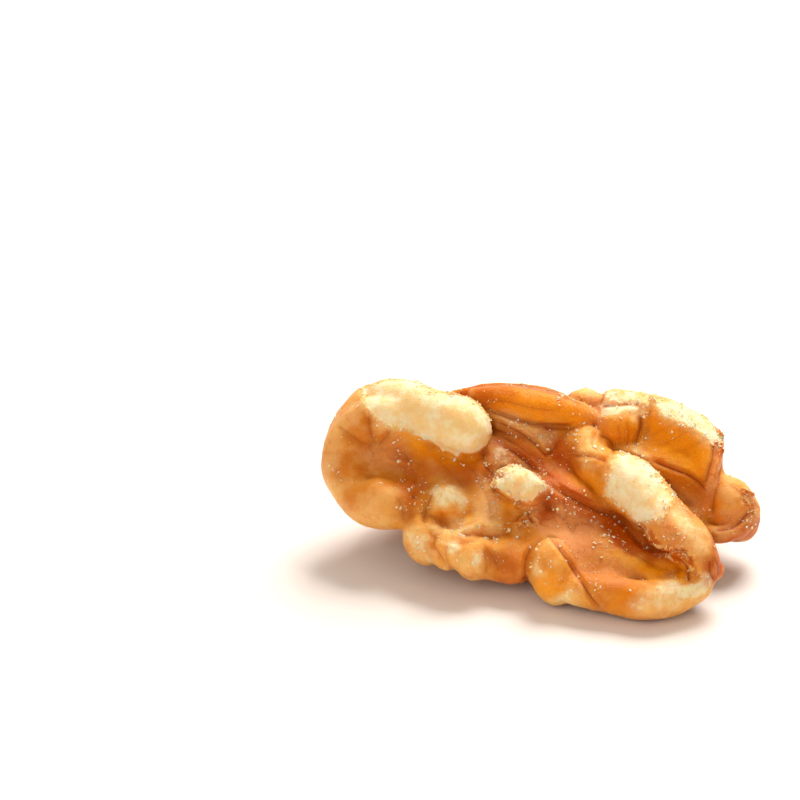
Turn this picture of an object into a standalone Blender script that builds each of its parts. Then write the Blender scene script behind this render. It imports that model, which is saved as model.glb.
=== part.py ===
"""Half of a shelled walnut: one grown kernel that rests on three low points of its round side.

Metres, +Z up, origin under the middle of the kernel at table level, +X along its length and the
thin front edge toward -Y. The inner face, where the shell's partition lay, looks up and forward.
The kernel is drawn as a heap of rounded lobes and folds that overlap. A voxel remesh grows them
together into one skin, smoothing softens the joints, and a cut at table level leaves three small
flats where the kernel stands.
"""
from math import cos, radians, sin

import bmesh
import bpy
from mathutils import Matrix, Vector

KERNEL_LENGTH = 0.0366
DRAWN_LENGTH = 36.6
UNIT = KERNEL_LENGTH / DRAWN_LENGTH
BOARD_TILT = radians(30)

SKIN_GRID = 0.30 * UNIT
SKIN_SOFTENING = 4
KEPT_FACES = 0.175
FLAT_DEPTH = 4 * UNIT
FLAT_SPREAD = 50 * UNIT

PELLICLE_COLOUR = (0.64, 0.27, 0.07, 1.0)
PELLICLE_ROUGHNESS = 0.42

# Lengths in these lists are in UNITs, which are millimetres at the full length of 36.6.
# The inner face is drawn on a board that leans back, square to a line of sight 30 degrees above
# level: (across, rise, height), where rise is measured up the board and height above the table.
# A lobe is (name, place, half widths across, up and out of the board, turn and lean in degrees).
FACE_LOBES = [
    ("left disc", (-12.9, 12.7, 7.2), (4.9, 5.8, 2.0), 0, 20),
    ("disc shoulder", (-13.2, 16.6, 10.1), (2.2, 2.0, 1.8), 0, 0),
    ("disc brow", (-11.6, 14.0, 8.3), (2.2, 0.7, 1.0), 25, 0),
    ("disc bump", (-12.6, 9.4, 5.6), (2.6, 1.6, 1.7), 0, 0),
    ("saddle", (-7.4, 11.4, 5.6), (5.0, 4.0, 2.4), 0, 20),
    ("left knob", (-7.6, 9.3, 5.4), (2.0, 1.8, 1.9), 0, 0),
    ("toe brow", (-5.6, 7.2, 4.1), (3.0, 1.1, 1.6), 8, 0),
    ("left toe", (-9.6, 6.2, 3.5), (1.7, 2.0, 1.7), 20, 0),
    ("middle toe", (-7.6, 5.5, 3.4), (1.7, 1.7, 1.7), 0, 0),
    ("front toe", (-5.5, 4.9, 3.0), (1.8, 1.9, 1.8), -10, 0),
    ("toe web", (-3.2, 4.6, 2.6), (2.2, 1.8, 1.6), 0, 0),
    ("pink cheek", (-3.2, 12.9, 7.2), (1.7, 1.4, 1.1), -30, 0),
    ("small knob", (-1.7, 11.0, 7.3), (2.0, 1.6, 1.8), -8, 0),
    ("round bump", (1.1, 3.8, 2.8), (2.0, 2.8, 1.9), 10, 0),
    ("apron", (2.6, 8.0, 4.3), (4.2, 3.0, 1.6), -15, 22),
    ("plateau", (2.0, 8.9, 4.7), (4.2, 2.6, 1.5), -22, 14),
    ("apron front", (5.4, 4.0, 2.2), (4.0, 2.6, 1.7), -10, 10),
    ("trough floor", (11.0, 3.9, 2.6), (2.6, 1.5, 1.4), 0, 0),
    ("knuckle", (6.6, 15.7, 9.2), (1.75, 1.9, 1.9), 0, 0),
    ("knuckle root", (5.2, 16.5, 9.2), (1.5, 1.3, 1.2), 0, 0),
    ("pip", (5.4, 14.6, 8.8), (0.8, 0.75, 0.8), 0, 0),
    ("top bump", (3.9, 17.9, 10.2), (1.6, 1.1, 1.3), 0, 0),
    ("top block", (6.7, 17.6, 10.2), (1.8, 1.3, 1.4), -5, 0),
    ("right wall", (12.6, 14.2, 7.6), (2.8, 2.8, 2.4), -25, 0),
    ("crest web", (9.4, 15.2, 8.4), (2.4, 2.0, 1.6), -20, 0),
    ("inner wall", (12.0, 10.6, 5.4), (2.6, 2.8, 2.0), 20, 10),
    ("right root", (14.3, 8.6, 4.0), (2.2, 2.6, 2.0), 0, 0),
    ("right end", (16.1, 8.9, 4.6), (2.2, 2.9, 2.2), 30, 0),
    ("back web", (-5.6, 16.4, 8.8), (3.4, 1.8, 1.8), 0, 0),
    ("nib", (14.4, 3.9, 3.1), (0.75, 0.8, 0.65), 0, 0),
]
# A fold on the inner face is a row of (across, rise, height, radius).
FACE_FOLDS = {
    "left rim": [(-13.9, 18.1, 11.2, 1.3), (-15.6, 16.3, 9.9, 1.45), (-16.45, 14.1, 8.4, 1.5),
                 (-16.45, 11.9, 6.8, 1.5), (-15.6, 9.9, 5.6, 1.45), (-14.0, 8.9, 5.0, 1.6),
                 (-12.0, 8.75, 4.9, 1.6), (-10.0, 9.0, 5.0, 1.4)],
    "bean": [(-12.9, 18.2, 12.0, 1.5), (-11.0, 17.7, 11.7, 1.95), (-8.9, 16.7, 11.2, 2.2),
             (-6.8, 15.95, 10.8, 2.4), (-6.1, 15.6, 10.6, 2.2)],
    "tongue": [(-5.1, 18.2, 11.0, 0.9), (-3.9, 18.1, 11.1, 1.2), (-2.3, 17.8, 11.1, 1.45),
               (-0.4, 17.4, 11.0, 1.6), (1.5, 17.1, 10.7, 1.5), (3.2, 16.7, 10.2, 1.2),
               (4.2, 16.4, 9.7, 0.9)],
    "tongue rim": [(-6.9, 18.2, 10.3, 0.7), (-5.6, 18.7, 11.0, 0.5), (-3.6, 19.0, 11.4, 0.45),
                   (-0.9, 18.85, 11.5, 0.45), (1.9, 18.3, 11.1, 0.45), (4.0, 17.0, 10.0, 0.4)],
    "pink fold": [(-4.6, 16.7, 9.7, 0.7), (-2.9, 16.3, 9.5, 0.8), (-1.6, 15.8, 9.2, 0.8),
                  (-0.4, 15.4, 8.9, 0.8), (0.9, 14.6, 8.3, 0.6)],
    "long ridge": [(3.9, 14.2, 8.3, 1.6), (4.8, 12.5, 7.7, 1.8), (7.0, 11.0, 7.2, 2.5),
                   (8.6, 9.7, 6.6, 2.35), (9.8, 8.6, 6.1, 2.15), (11.6, 6.6, 5.2, 2.15),
                   (13.0, 5.0, 4.2, 1.6), (13.8, 4.0, 3.4, 1.2)],
    "front rim": [(2.9, 2.3, 2.0, 1.3), (5.0, 2.1, 1.9, 1.5), (8.2, 1.6, 1.8, 1.65),
                  (10.8, 1.9, 1.85, 1.6), (12.5, 2.7, 2.2, 1.45), (13.4, 3.5, 2.8, 1.1)],
    "right crest": [(7.8, 17.4, 10.1, 1.3), (9.0, 17.1, 10.0, 1.5), (10.7, 16.3, 9.7, 1.75),
                    (12.5, 15.3, 9.1, 1.75), (13.8, 13.8, 8.1, 1.6), (14.1, 11.9, 6.9, 1.4),
                    (14.2, 10.4, 5.8, 1.2)],
    "end rim": [(13.6, 6.9, 3.5, 0.7), (15.3, 6.8, 3.7, 0.75), (16.9, 7.5, 4.1, 0.75),
                (17.8, 8.9, 4.9, 0.65)],
    "streak": [(-4.0, 15.3, 8.6, 0.5), (-2.2, 13.7, 7.9, 0.5), (-0.6, 12.7, 7.5, 0.5),
               (1.7, 10.7, 6.6, 0.5), (4.2, 9.1, 5.6, 0.4)],
}
# The round side is drawn level, seen from above: places and folds are (x, y, height, ...).
CORE_LOBES = [
    ("front body", (4.5, 5.6, 3.2), (8.0, 4.2, 1.5), 0, 14),
    ("mid body", (-0.5, 10.8, 4.6), (9.0, 5.0, 2.4), 0, 20),
    ("back body", (0.5, 14.6, 5.8), (12.0, 3.4, 3.6), 0, 10),
    ("left body", (-8.5, 13.3, 5.8), (5.0, 3.8, 3.4), 0, 0),
    ("right body", (10.0, 13.2, 5.1), (4.6, 3.4, 3.4), 0, 0),
    ("right floor", (11.3, 9.2, 3.5), (3.2, 2.8, 1.6), 0, 0),
    ("top body", (-0.4, 16.5, 8.9), (5.6, 1.5, 1.9), 0, 0),
]
ROUND_FOLDS = {
    "back a": [(-14.4, 14.8, 8.6, 1.5), (-12.6, 16.3, 6.9, 1.9), (-13.1, 14.7, 5.0, 1.7),
               (-11.3, 13.2, 4.3, 1.7), (-11.4, 11.4, 4.4, 1.3)],
    "back b": [(-11.0, 17.0, 8.6, 1.7), (-9.0, 17.7, 7.5, 1.9), (-6.9, 18.0, 8.3, 1.6),
               (-5.2, 18.1, 7.2, 1.6), (-5.6, 18.0, 5.5, 1.5)],
    "back c": [(-10.2, 16.9, 5.1, 1.9), (-8.3, 17.2, 4.6, 1.8), (-7.0, 16.2, 3.3, 1.8),
               (-7.8, 13.4, 1.5, 1.8), (-9.8, 13.2, 3.2, 1.6)],
    "back d": [(-3.6, 17.9, 8.7, 1.4), (-2.0, 18.3, 7.3, 1.7), (0.0, 18.2, 8.1, 1.6),
               (1.9, 18.2, 7.4, 1.7), (1.6, 18.0, 5.7, 1.6)],
    "back e": [(-3.6, 17.7, 5.0, 1.7), (-1.6, 17.7, 4.9, 1.8), (-0.4, 16.6, 3.4, 1.7),
               (-2.0, 15.4, 2.6, 1.7), (-4.0, 15.6, 2.9, 1.6)],
    "back f": [(3.9, 17.8, 9.0, 1.4), (4.7, 17.8, 7.2, 1.6), (3.9, 17.4, 5.2, 1.7),
               (4.9, 16.0, 3.6, 1.8), (3.4, 14.7, 2.5, 1.7), (1.4, 15.2, 2.7, 1.5)],
    "back g": [(7.0, 17.0, 8.4, 1.5), (7.6, 17.0, 6.6, 1.7), (9.4, 16.5, 6.0, 1.6),
               (9.8, 16.2, 7.8, 1.4)],
    "back h": [(7.2, 16.6, 4.3, 1.7), (8.4, 16.0, 2.9, 1.8), (7.0, 14.6, 1.45, 1.75),
               (5.6, 13.2, 1.9, 1.6)],
    "back i": [(12.4, 15.4, 7.4, 1.4), (12.2, 15.3, 5.5, 1.6), (10.8, 14.6, 4.2, 1.6),
               (11.5, 12.8, 3.0, 1.7), (10.2, 11.6, 2.4, 1.4)],
    "back j": [(14.3, 13.2, 6.3, 1.2), (14.1, 12.9, 4.6, 1.4), (14.6, 11.2, 3.8, 1.3),
               (13.6, 9.6, 2.9, 1.3)],
    "sole a": [(-8.8, 7.6, 3.5, 1.4), (-7.0, 8.4, 2.6, 1.6), (-6.4, 10.2, 2.0, 1.7),
               (-7.4, 11.8, 2.2, 1.6)],
    "sole b": [(-5.4, 13.2, 2.1, 1.6), (-3.6, 12.6, 1.9, 1.6), (-3.9, 10.8, 1.9, 1.5),
               (-2.4, 9.6, 2.0, 1.5)],
    "sole c": [(-1.2, 13.2, 2.0, 1.6), (0.6, 12.4, 1.9, 1.6), (0.0, 10.6, 1.9, 1.5),
               (1.6, 9.4, 2.0, 1.5), (3.0, 10.4, 1.9, 1.4)],
    "sole d": [(3.0, 12.6, 1.9, 1.5), (4.8, 11.2, 1.8, 1.6), (6.8, 11.4, 1.9, 1.6),
               (7.9, 10.0, 2.1, 1.5)],
    "sole e": [(-4.9, 6.6, 2.4, 1.5), (-4.5, 8.4, 2.1, 1.5), (-2.7, 7.2, 2.0, 1.5),
               (-1.4, 5.4, 2.0, 1.5), (-2.2, 3.9, 2.4, 1.2)],
    "sole f": [(0.2, 4.0, 2.1, 1.5), (0.4, 6.2, 2.0, 1.6), (-0.2, 8.0, 2.0, 1.4),
               (2.2, 7.6, 1.9, 1.5), (3.6, 8.4, 1.9, 1.4)],
    "sole g": [(2.6, 2.4, 2.0, 1.5), (2.5, 4.6, 1.9, 1.5), (4.4, 5.8, 1.95, 1.6),
               (5.6, 7.6, 1.9, 1.5), (5.2, 9.2, 1.9, 1.3)],
    "sole h": [(5.4, 1.9, 1.8, 1.5), (6.6, 3.8, 1.4, 1.7), (8.2, 5.2, 1.8, 1.5),
               (7.8, 7.4, 1.9, 1.5)],
    "sole i": [(9.4, 2.4, 1.8, 1.5), (10.2, 4.6, 1.9, 1.5), (10.0, 6.6, 2.0, 1.4),
               (11.0, 8.2, 2.4, 1.5), (12.6, 7.4, 2.9, 1.2)],
}


def clear_scene():
    for old in list(bpy.data.objects):
        bpy.data.objects.remove(old)


def new_collection(name):
    made = bpy.data.collections.new(name)
    bpy.context.scene.collection.children.link(made)
    return made


def board_axes():
    """The board's across, up and out directions as the columns of a matrix."""
    up = Vector((0, sin(BOARD_TILT), cos(BOARD_TILT)))
    out = Vector((0, -cos(BOARD_TILT), sin(BOARD_TILT)))
    return Matrix((Vector((1, 0, 0)), up, out)).transposed().to_4x4()


def on_board(across, rise, height):
    """The point that the board shows at (across, rise) and that lies height above the table."""
    depth = (rise - height * cos(BOARD_TILT)) / sin(BOARD_TILT)
    return Vector((across, depth, height)) * UNIT


def level(x, y, height):
    return Vector((x, y, height)) * UNIT


def add_lobe(heap, place, half_widths, turn, lean, axes):
    """An ellipsoid, first leaned back round its own across axis, then turned round its out axis."""
    shape = Matrix.Diagonal((*(Vector(half_widths) * UNIT), 1))
    stance = axes @ Matrix.Rotation(radians(turn), 4, "Z") @ Matrix.Rotation(radians(lean), 4, "X")
    matrix = Matrix.Translation(place) @ stance @ shape
    bmesh.ops.create_uvsphere(heap, u_segments=28, v_segments=18, radius=1.0, matrix=matrix)


def fold_mesh(name, points, radii):
    """A tube along a smooth curve through the points, its radius changing from point to point."""
    curve = bpy.data.curves.new(name, "CURVE")
    curve.dimensions = "3D"
    curve.bevel_depth = 1.0
    curve.bevel_resolution = 6
    curve.use_fill_caps = True
    spline = curve.splines.new("BEZIER")
    spline.resolution_u = 8
    spline.bezier_points.add(len(points) - 1)
    for knot, point, radius in zip(spline.bezier_points, points, radii):
        knot.co = point
        knot.radius = radius
        knot.handle_left_type = knot.handle_right_type = "AUTO"
    holder = bpy.data.objects.new(name, curve)
    bpy.context.scene.collection.objects.link(holder)
    evaluated = holder.evaluated_get(bpy.context.evaluated_depsgraph_get())
    mesh = bpy.data.meshes.new_from_object(evaluated)
    bpy.data.objects.remove(holder)
    bpy.data.curves.remove(curve)
    return mesh


def add_fold(heap, name, rows, place):
    """A tube with a ball at each end."""
    points = [place(*row[:3]) for row in rows]
    radii = [row[3] * UNIT for row in rows]
    mesh = fold_mesh(name, points, radii)
    heap.from_mesh(mesh)
    bpy.data.meshes.remove(mesh)
    for end in (0, -1):
        bmesh.ops.create_uvsphere(
            heap, u_segments=24, v_segments=16, radius=radii[end], matrix=Matrix.Translation(points[end])
        )


def heap_of_lobes():
    heap = bmesh.new()
    board = board_axes()
    flat = Matrix.Identity(4)
    for _, place, half_widths, turn, lean in CORE_LOBES:
        add_lobe(heap, level(*place), half_widths, turn, lean, flat)
    for _, place, half_widths, turn, lean in FACE_LOBES:
        add_lobe(heap, on_board(*place), half_widths, turn, lean, board)
    for name, rows in ROUND_FOLDS.items():
        add_fold(heap, name, rows, level)
    for name, rows in FACE_FOLDS.items():
        add_fold(heap, name, rows, on_board)
    bmesh.ops.remove_doubles(heap, verts=heap.verts, dist=UNIT * 1e-4)
    mesh = bpy.data.meshes.new("kernel")
    heap.to_mesh(mesh)
    heap.free()
    return mesh


def grow_together(kernel):
    """One skin over the heap, softened, and then thinned to a working number of faces."""
    skin = kernel.modifiers.new("skin", "REMESH")
    skin.mode = "VOXEL"
    skin.voxel_size = SKIN_GRID
    skin.use_smooth_shade = True
    soften = kernel.modifiers.new("soften", "SMOOTH")
    soften.factor = 0.5
    soften.iterations = SKIN_SOFTENING
    thin = kernel.modifiers.new("thin", "DECIMATE")
    thin.ratio = KEPT_FACES


def table_cutter(collection):
    """A slab whose top is the table: what it takes away leaves the flats that the kernel stands on."""
    mesh = bpy.data.meshes.new("table cutter")
    slab = bmesh.new()
    size = Matrix.Diagonal((FLAT_SPREAD, FLAT_SPREAD, FLAT_DEPTH, 1))
    bmesh.ops.create_cube(slab, size=1.0, matrix=Matrix.Translation((0, 0, -FLAT_DEPTH / 2)) @ size)
    slab.to_mesh(mesh)
    slab.free()
    cutter = bpy.data.objects.new("table cutter", mesh)
    cutter.hide_render = True
    cutter.display_type = "WIRE"
    collection.objects.link(cutter)
    return cutter


def stand_on_flats(kernel, cutter):
    cut = kernel.modifiers.new("flats", "BOOLEAN")
    cut.operation = "DIFFERENCE"
    cut.solver = "EXACT"
    cut.object = cutter


def centre_over_origin(kernel, cutter):
    """Moves the kernel so that the middle of its box stands over the origin."""
    bpy.context.view_layer.update()
    evaluated = kernel.evaluated_get(bpy.context.evaluated_depsgraph_get())
    corners = [Vector(corner) for corner in evaluated.bound_box]
    low = Vector(map(min, zip(*corners)))
    high = Vector(map(max, zip(*corners)))
    middle = (low + high) / 2
    for held in (kernel, cutter):
        held.location = (-middle.x, -middle.y, 0)


def pellicle():
    """The kernel's thin brown skin."""
    material = bpy.data.materials.new("walnut pellicle")
    material.use_nodes = True
    shader = material.node_tree.nodes["Principled BSDF"]
    shader.inputs["Base Color"].default_value = PELLICLE_COLOUR
    shader.inputs["Roughness"].default_value = PELLICLE_ROUGHNESS
    shader.inputs["Metallic"].default_value = 0.0
    return material


def main():
    clear_scene()
    parts = new_collection("walnut")
    cutters = new_collection("cutters")
    kernel = bpy.data.objects.new("kernel", heap_of_lobes())
    parts.objects.link(kernel)
    kernel.data.materials.append(pellicle())
    grow_together(kernel)
    cutter = table_cutter(cutters)
    stand_on_flats(kernel, cutter)
    centre_over_origin(kernel, cutter)


main()
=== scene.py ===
"""Dresses a packed walnut kernel: its wrinkled skin, rubbed flesh, crumbs and flakes.

The kernel is grown once more from its lobes and folds, much finer than the solid that it stands
for. All shapes are drawn in millimetres and then set into the solid's box, so they follow the
solid if its size or place changes. The stage is a pale floor in soft studio light.
"""
from functools import lru_cache
from math import cos, radians, sin

import bpy
import numpy as np
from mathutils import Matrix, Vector


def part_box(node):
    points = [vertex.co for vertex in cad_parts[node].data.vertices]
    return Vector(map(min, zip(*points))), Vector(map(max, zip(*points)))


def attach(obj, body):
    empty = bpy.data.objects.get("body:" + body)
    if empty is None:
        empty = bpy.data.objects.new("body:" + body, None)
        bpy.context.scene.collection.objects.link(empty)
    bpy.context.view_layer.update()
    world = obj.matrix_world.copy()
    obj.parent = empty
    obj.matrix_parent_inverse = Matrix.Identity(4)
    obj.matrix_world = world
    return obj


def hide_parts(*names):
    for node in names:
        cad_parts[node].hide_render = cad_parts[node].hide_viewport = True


bl_info = {
    "name": "Walnut kernel",
    "version": (1, 0, 0),
    "blender": (4, 5, 0),
    "location": "3D View > Sidebar > Walnut",
    "description": "Fine surface, crumbs and studio for a shelled walnut half",
    "category": "Object",
}

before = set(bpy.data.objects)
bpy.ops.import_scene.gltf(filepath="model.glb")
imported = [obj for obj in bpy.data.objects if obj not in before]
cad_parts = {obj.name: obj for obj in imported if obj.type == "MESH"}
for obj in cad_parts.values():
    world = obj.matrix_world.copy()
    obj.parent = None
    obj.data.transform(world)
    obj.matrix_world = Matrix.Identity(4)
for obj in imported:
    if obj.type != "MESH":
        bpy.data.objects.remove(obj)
SOLID_LOW, SOLID_HIGH = (np.array(corner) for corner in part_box("kernel"))
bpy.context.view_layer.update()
MM = 0.001

# The inner face is drawn on a board that leans back, square to the line of sight: millimetres
# (across, rise, height), where rise is measured up the board and height above the table.
SIGHT = radians(30)
ACROSS = np.array([1.0, 0.0, 0.0])
RISE = np.array([0.0, sin(SIGHT), cos(SIGHT)])
TOWARD_EYE = np.array([0.0, -cos(SIGHT), sin(SIGHT)])
BOARD = np.stack([ACROSS, RISE, TOWARD_EYE], axis=1)

# The photograph's pixels on that board.
PIXEL = 0.083
PICTURE_ZERO = (540, 617)
PICTURE_MIDDLE = (400, 400)
PICTURE_SIDE = 800
# The camera: a long lens, as for a close picture of something this small. It aims at a point a
# little behind the board.
LENS = 200.0
SENSOR = 36.0
CLIP_START = 0.01
EYE_DISTANCE = PICTURE_SIDE * PIXEL * LENS / SENSOR
AIM_BEHIND = 4.0

# The seeds of the smooth noises, each used for one thing.
RAGGED_SEEDS = (31, 32)
WORN_SEED = 33
BEND_SEED = 41
VEIN_SEED = 44
SWELL_SEEDS = (51, 52)
GRAIN_SEED = 53
TORN_SEED = 54
SOFT_SEED = 61
PATCH_SEED = 71
CRUMB_SEED = 27
FLAKE_SEED = 81

FAR = 1e3
TINY = 1e-9
# Points that stand for one step between the knots of a fold and of a line in the picture.
FOLD_STEPS = 5
LINE_STEPS = 6

# Lobes: name, place, half widths across, up and out of the board, turn, lean, width of the blend.
CORE_LOBES = [
    ("front body", (4.5, 5.6, 3.2), (8.0, 4.2, 1.5), 0, 14, 0.6),
    ("mid body", (-0.5, 10.8, 4.6), (9.0, 5.0, 2.4), 0, 20, 0.8),
    ("back body", (0.5, 14.6, 5.8), (12.0, 3.4, 3.6), 0, 10, 0.8),
    ("left body", (-8.5, 13.3, 5.8), (5.0, 3.8, 3.4), 0, 0, 0.8),
    ("right body", (10.0, 13.2, 5.1), (4.6, 3.4, 3.4), 0, 0, 0.8),
    ("right floor", (11.3, 9.2, 3.5), (3.2, 2.8, 1.6), 0, 0, 0.6),
    ("top body", (-0.4, 16.5, 8.9), (5.6, 1.5, 1.9), 0, 0, 0.8),
]
FACE_LOBES = [
    ("left disc", (-12.9, 12.7, 7.2), (4.9, 5.8, 2.0), 0, 20, 0.6),
    ("disc shoulder", (-13.2, 16.6, 10.1), (2.2, 2.0, 1.8), 0, 0, 1.8),
    ("disc brow", (-11.6, 14.0, 8.3), (2.2, 0.7, 1.0), 25, 0, 0.8),
    ("disc bump", (-12.6, 9.4, 5.6), (2.6, 1.6, 1.7), 0, 0, 1.8),
    ("saddle", (-7.4, 11.4, 5.6), (5.0, 4.0, 2.4), 0, 20, 1.5),
    ("left knob", (-7.6, 9.3, 5.4), (2.0, 1.8, 1.9), 0, 0, 0.5),
    ("toe brow", (-5.6, 7.2, 4.1), (3.0, 1.1, 1.6), 8, 0, 0.7),
    ("left toe", (-9.6, 6.2, 3.5), (1.7, 2.0, 1.7), 20, 0, 0.35),
    ("middle toe", (-7.6, 5.5, 3.4), (1.7, 1.7, 1.7), 0, 0, 0.35),
    ("front toe", (-5.5, 4.9, 3.0), (1.8, 1.9, 1.8), -10, 0, 0.3),
    ("toe web", (-3.2, 4.6, 2.6), (2.2, 1.8, 1.6), 0, 0, 0.7),
    ("pink cheek", (-3.2, 12.9, 7.2), (1.7, 1.4, 1.1), -30, 0, 0.9),
    ("small knob", (-2.3, 11.1, 7.3), (1.5, 1.5, 1.8), -8, 0, 0.3),
    ("small knob side", (-0.8, 10.7, 7.2), (1.25, 1.45, 1.7), 12, 0, 0.3),
    ("small knob corner", (-3.4, 10.9, 7.6), (0.6, 0.5, 0.8), 0, 0, 0.3),
    ("round bump", (1.1, 3.8, 2.8), (2.0, 2.8, 1.9), 10, 0, 0.3),
    ("apron", (2.6, 8.0, 4.3), (4.2, 3.0, 1.6), -15, 22, 1.0),
    ("plateau", (2.0, 8.9, 4.7), (4.2, 2.6, 1.5), -22, 14, 1.0),
    ("apron front", (5.4, 4.0, 2.2), (4.0, 2.6, 1.7), -10, 10, 0.8),
    ("trough floor", (11.0, 3.9, 2.6), (2.6, 1.5, 1.4), 0, 0, 0.5),
    ("knuckle", (6.6, 15.7, 9.2), (1.75, 1.9, 1.9), 0, 0, 0.35),
    ("knuckle root", (5.2, 16.5, 9.2), (1.5, 1.3, 1.2), 0, 0, 0.5),
    ("pip", (5.4, 14.6, 8.8), (0.8, 0.75, 0.8), 0, 0, 0.25),
    ("top bump", (3.9, 17.9, 10.2), (1.6, 1.1, 1.3), 0, 0, 0.3),
    ("top block", (6.7, 17.6, 10.2), (1.8, 1.3, 1.4), -5, 0, 0.35),
    ("right wall", (12.6, 14.2, 7.6), (2.8, 2.8, 2.4), -25, 0, 1.4),
    ("crest web", (9.4, 15.2, 8.4), (2.4, 2.0, 1.6), -20, 0, 1.4),
    ("inner wall", (12.0, 10.6, 5.4), (2.6, 2.8, 2.0), 20, 10, 0.4),
    ("right root", (14.3, 8.6, 4.0), (2.2, 2.6, 2.0), 0, 0, 0.5),
    ("right end", (16.1, 8.9, 4.6), (2.2, 2.9, 2.2), 30, 0, 0.35),
    ("back web", (-5.6, 16.4, 8.8), (3.4, 1.8, 1.8), 0, 0, 0.6),
    ("nib", (14.65, 3.95, 3.1), (0.55, 0.75, 0.6), 0, 0, 0.05),
]
# Folds: the width of the blend, then rows of place and radius along the fold.
ROUND_FOLDS = {
    "back a": (0.45, [(-14.4, 14.8, 8.6, 1.5), (-12.6, 16.3, 6.9, 1.9), (-13.1, 14.7, 5.0, 1.7),
        (-11.3, 13.2, 4.3, 1.7), (-11.4, 11.4, 4.4, 1.3)]),
    "back b": (0.45, [(-11.0, 17.0, 8.6, 1.7), (-9.0, 17.7, 7.5, 1.9), (-6.9, 18.0, 8.3, 1.6),
        (-5.2, 18.1, 7.2, 1.6), (-5.6, 18.0, 5.5, 1.5)]),
    "back c": (0.45, [(-10.2, 16.9, 5.1, 1.9), (-8.3, 17.2, 4.6, 1.8), (-7.0, 16.2, 3.3, 1.8),
        (-7.8, 13.4, 1.5, 1.8), (-9.8, 13.2, 3.2, 1.6)]),
    "back d": (0.45, [(-3.6, 17.9, 8.7, 1.4), (-2.0, 18.3, 7.3, 1.7), (0.0, 18.2, 8.1, 1.6),
        (1.9, 18.2, 7.4, 1.7), (1.6, 18.0, 5.7, 1.6)]),
    "back e": (0.45, [(-3.6, 17.7, 5.0, 1.7), (-1.6, 17.7, 4.9, 1.8), (-0.4, 16.6, 3.4, 1.7),
        (-2.0, 15.4, 2.6, 1.7), (-4.0, 15.6, 2.9, 1.6)]),
    "back f": (0.45, [(3.9, 17.8, 9.0, 1.4), (4.7, 17.8, 7.2, 1.6), (3.9, 17.4, 5.2, 1.7),
        (4.9, 16.0, 3.6, 1.8), (3.4, 14.7, 2.5, 1.7), (1.4, 15.2, 2.7, 1.5)]),
    "back g": (0.45, [(7.0, 17.0, 8.4, 1.5), (7.6, 17.0, 6.6, 1.7), (9.4, 16.5, 6.0, 1.6),
        (9.8, 16.2, 7.8, 1.4)]),
    "back h": (0.45, [(7.2, 16.6, 4.3, 1.7), (8.4, 16.0, 2.9, 1.8), (7.0, 14.6, 1.45, 1.75),
        (5.6, 13.2, 1.9, 1.6)]),
    "back i": (0.45, [(12.4, 15.4, 7.4, 1.4), (12.2, 15.3, 5.5, 1.6), (10.8, 14.6, 4.2, 1.6),
        (11.5, 12.8, 3.0, 1.7), (10.2, 11.6, 2.4, 1.4)]),
    "back j": (0.4, [(14.3, 13.2, 6.3, 1.2), (14.1, 12.9, 4.6, 1.4), (14.6, 11.2, 3.8, 1.3),
        (13.6, 9.6, 2.9, 1.3)]),
    "sole a": (0.45, [(-8.8, 7.6, 3.5, 1.4), (-7.0, 8.4, 2.6, 1.6), (-6.4, 10.2, 2.0, 1.7),
        (-7.4, 11.8, 2.2, 1.6)]),
    "sole b": (0.45, [(-5.4, 13.2, 2.1, 1.6), (-3.6, 12.6, 1.9, 1.6), (-3.9, 10.8, 1.9, 1.5),
        (-2.4, 9.6, 2.0, 1.5)]),
    "sole c": (0.45, [(-1.2, 13.2, 2.0, 1.6), (0.6, 12.4, 1.9, 1.6), (0.0, 10.6, 1.9, 1.5),
        (1.6, 9.4, 2.0, 1.5), (3.0, 10.4, 1.9, 1.4)]),
    "sole d": (0.45, [(3.0, 12.6, 1.9, 1.5), (4.8, 11.2, 1.8, 1.6), (6.8, 11.4, 1.9, 1.6),
        (7.9, 10.0, 2.1, 1.5)]),
    "sole e": (0.45, [(-4.9, 6.6, 2.4, 1.5), (-4.5, 8.4, 2.1, 1.5), (-2.7, 7.2, 2.0, 1.5),
        (-1.4, 5.4, 2.0, 1.5), (-2.2, 3.9, 2.4, 1.2)]),
    "sole f": (0.45, [(0.2, 4.0, 2.1, 1.5), (0.4, 6.2, 2.0, 1.6), (-0.2, 8.0, 2.0, 1.4),
        (2.2, 7.6, 1.9, 1.5), (3.6, 8.4, 1.9, 1.4)]),
    "sole g": (0.45, [(2.6, 2.4, 2.0, 1.5), (2.5, 4.6, 1.9, 1.5), (4.4, 5.8, 1.95, 1.6),
        (5.6, 7.6, 1.9, 1.5), (5.2, 9.2, 1.9, 1.3)]),
    "sole h": (0.45, [(5.4, 1.9, 1.8, 1.5), (6.6, 3.8, 1.4, 1.7), (8.2, 5.2, 1.8, 1.5),
        (7.8, 7.4, 1.9, 1.5)]),
    "sole i": (0.45, [(9.4, 2.4, 1.8, 1.5), (10.2, 4.6, 1.9, 1.5), (10.0, 6.6, 2.0, 1.4),
        (11.0, 8.2, 2.4, 1.5), (12.6, 7.4, 2.9, 1.2)]),
}
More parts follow.
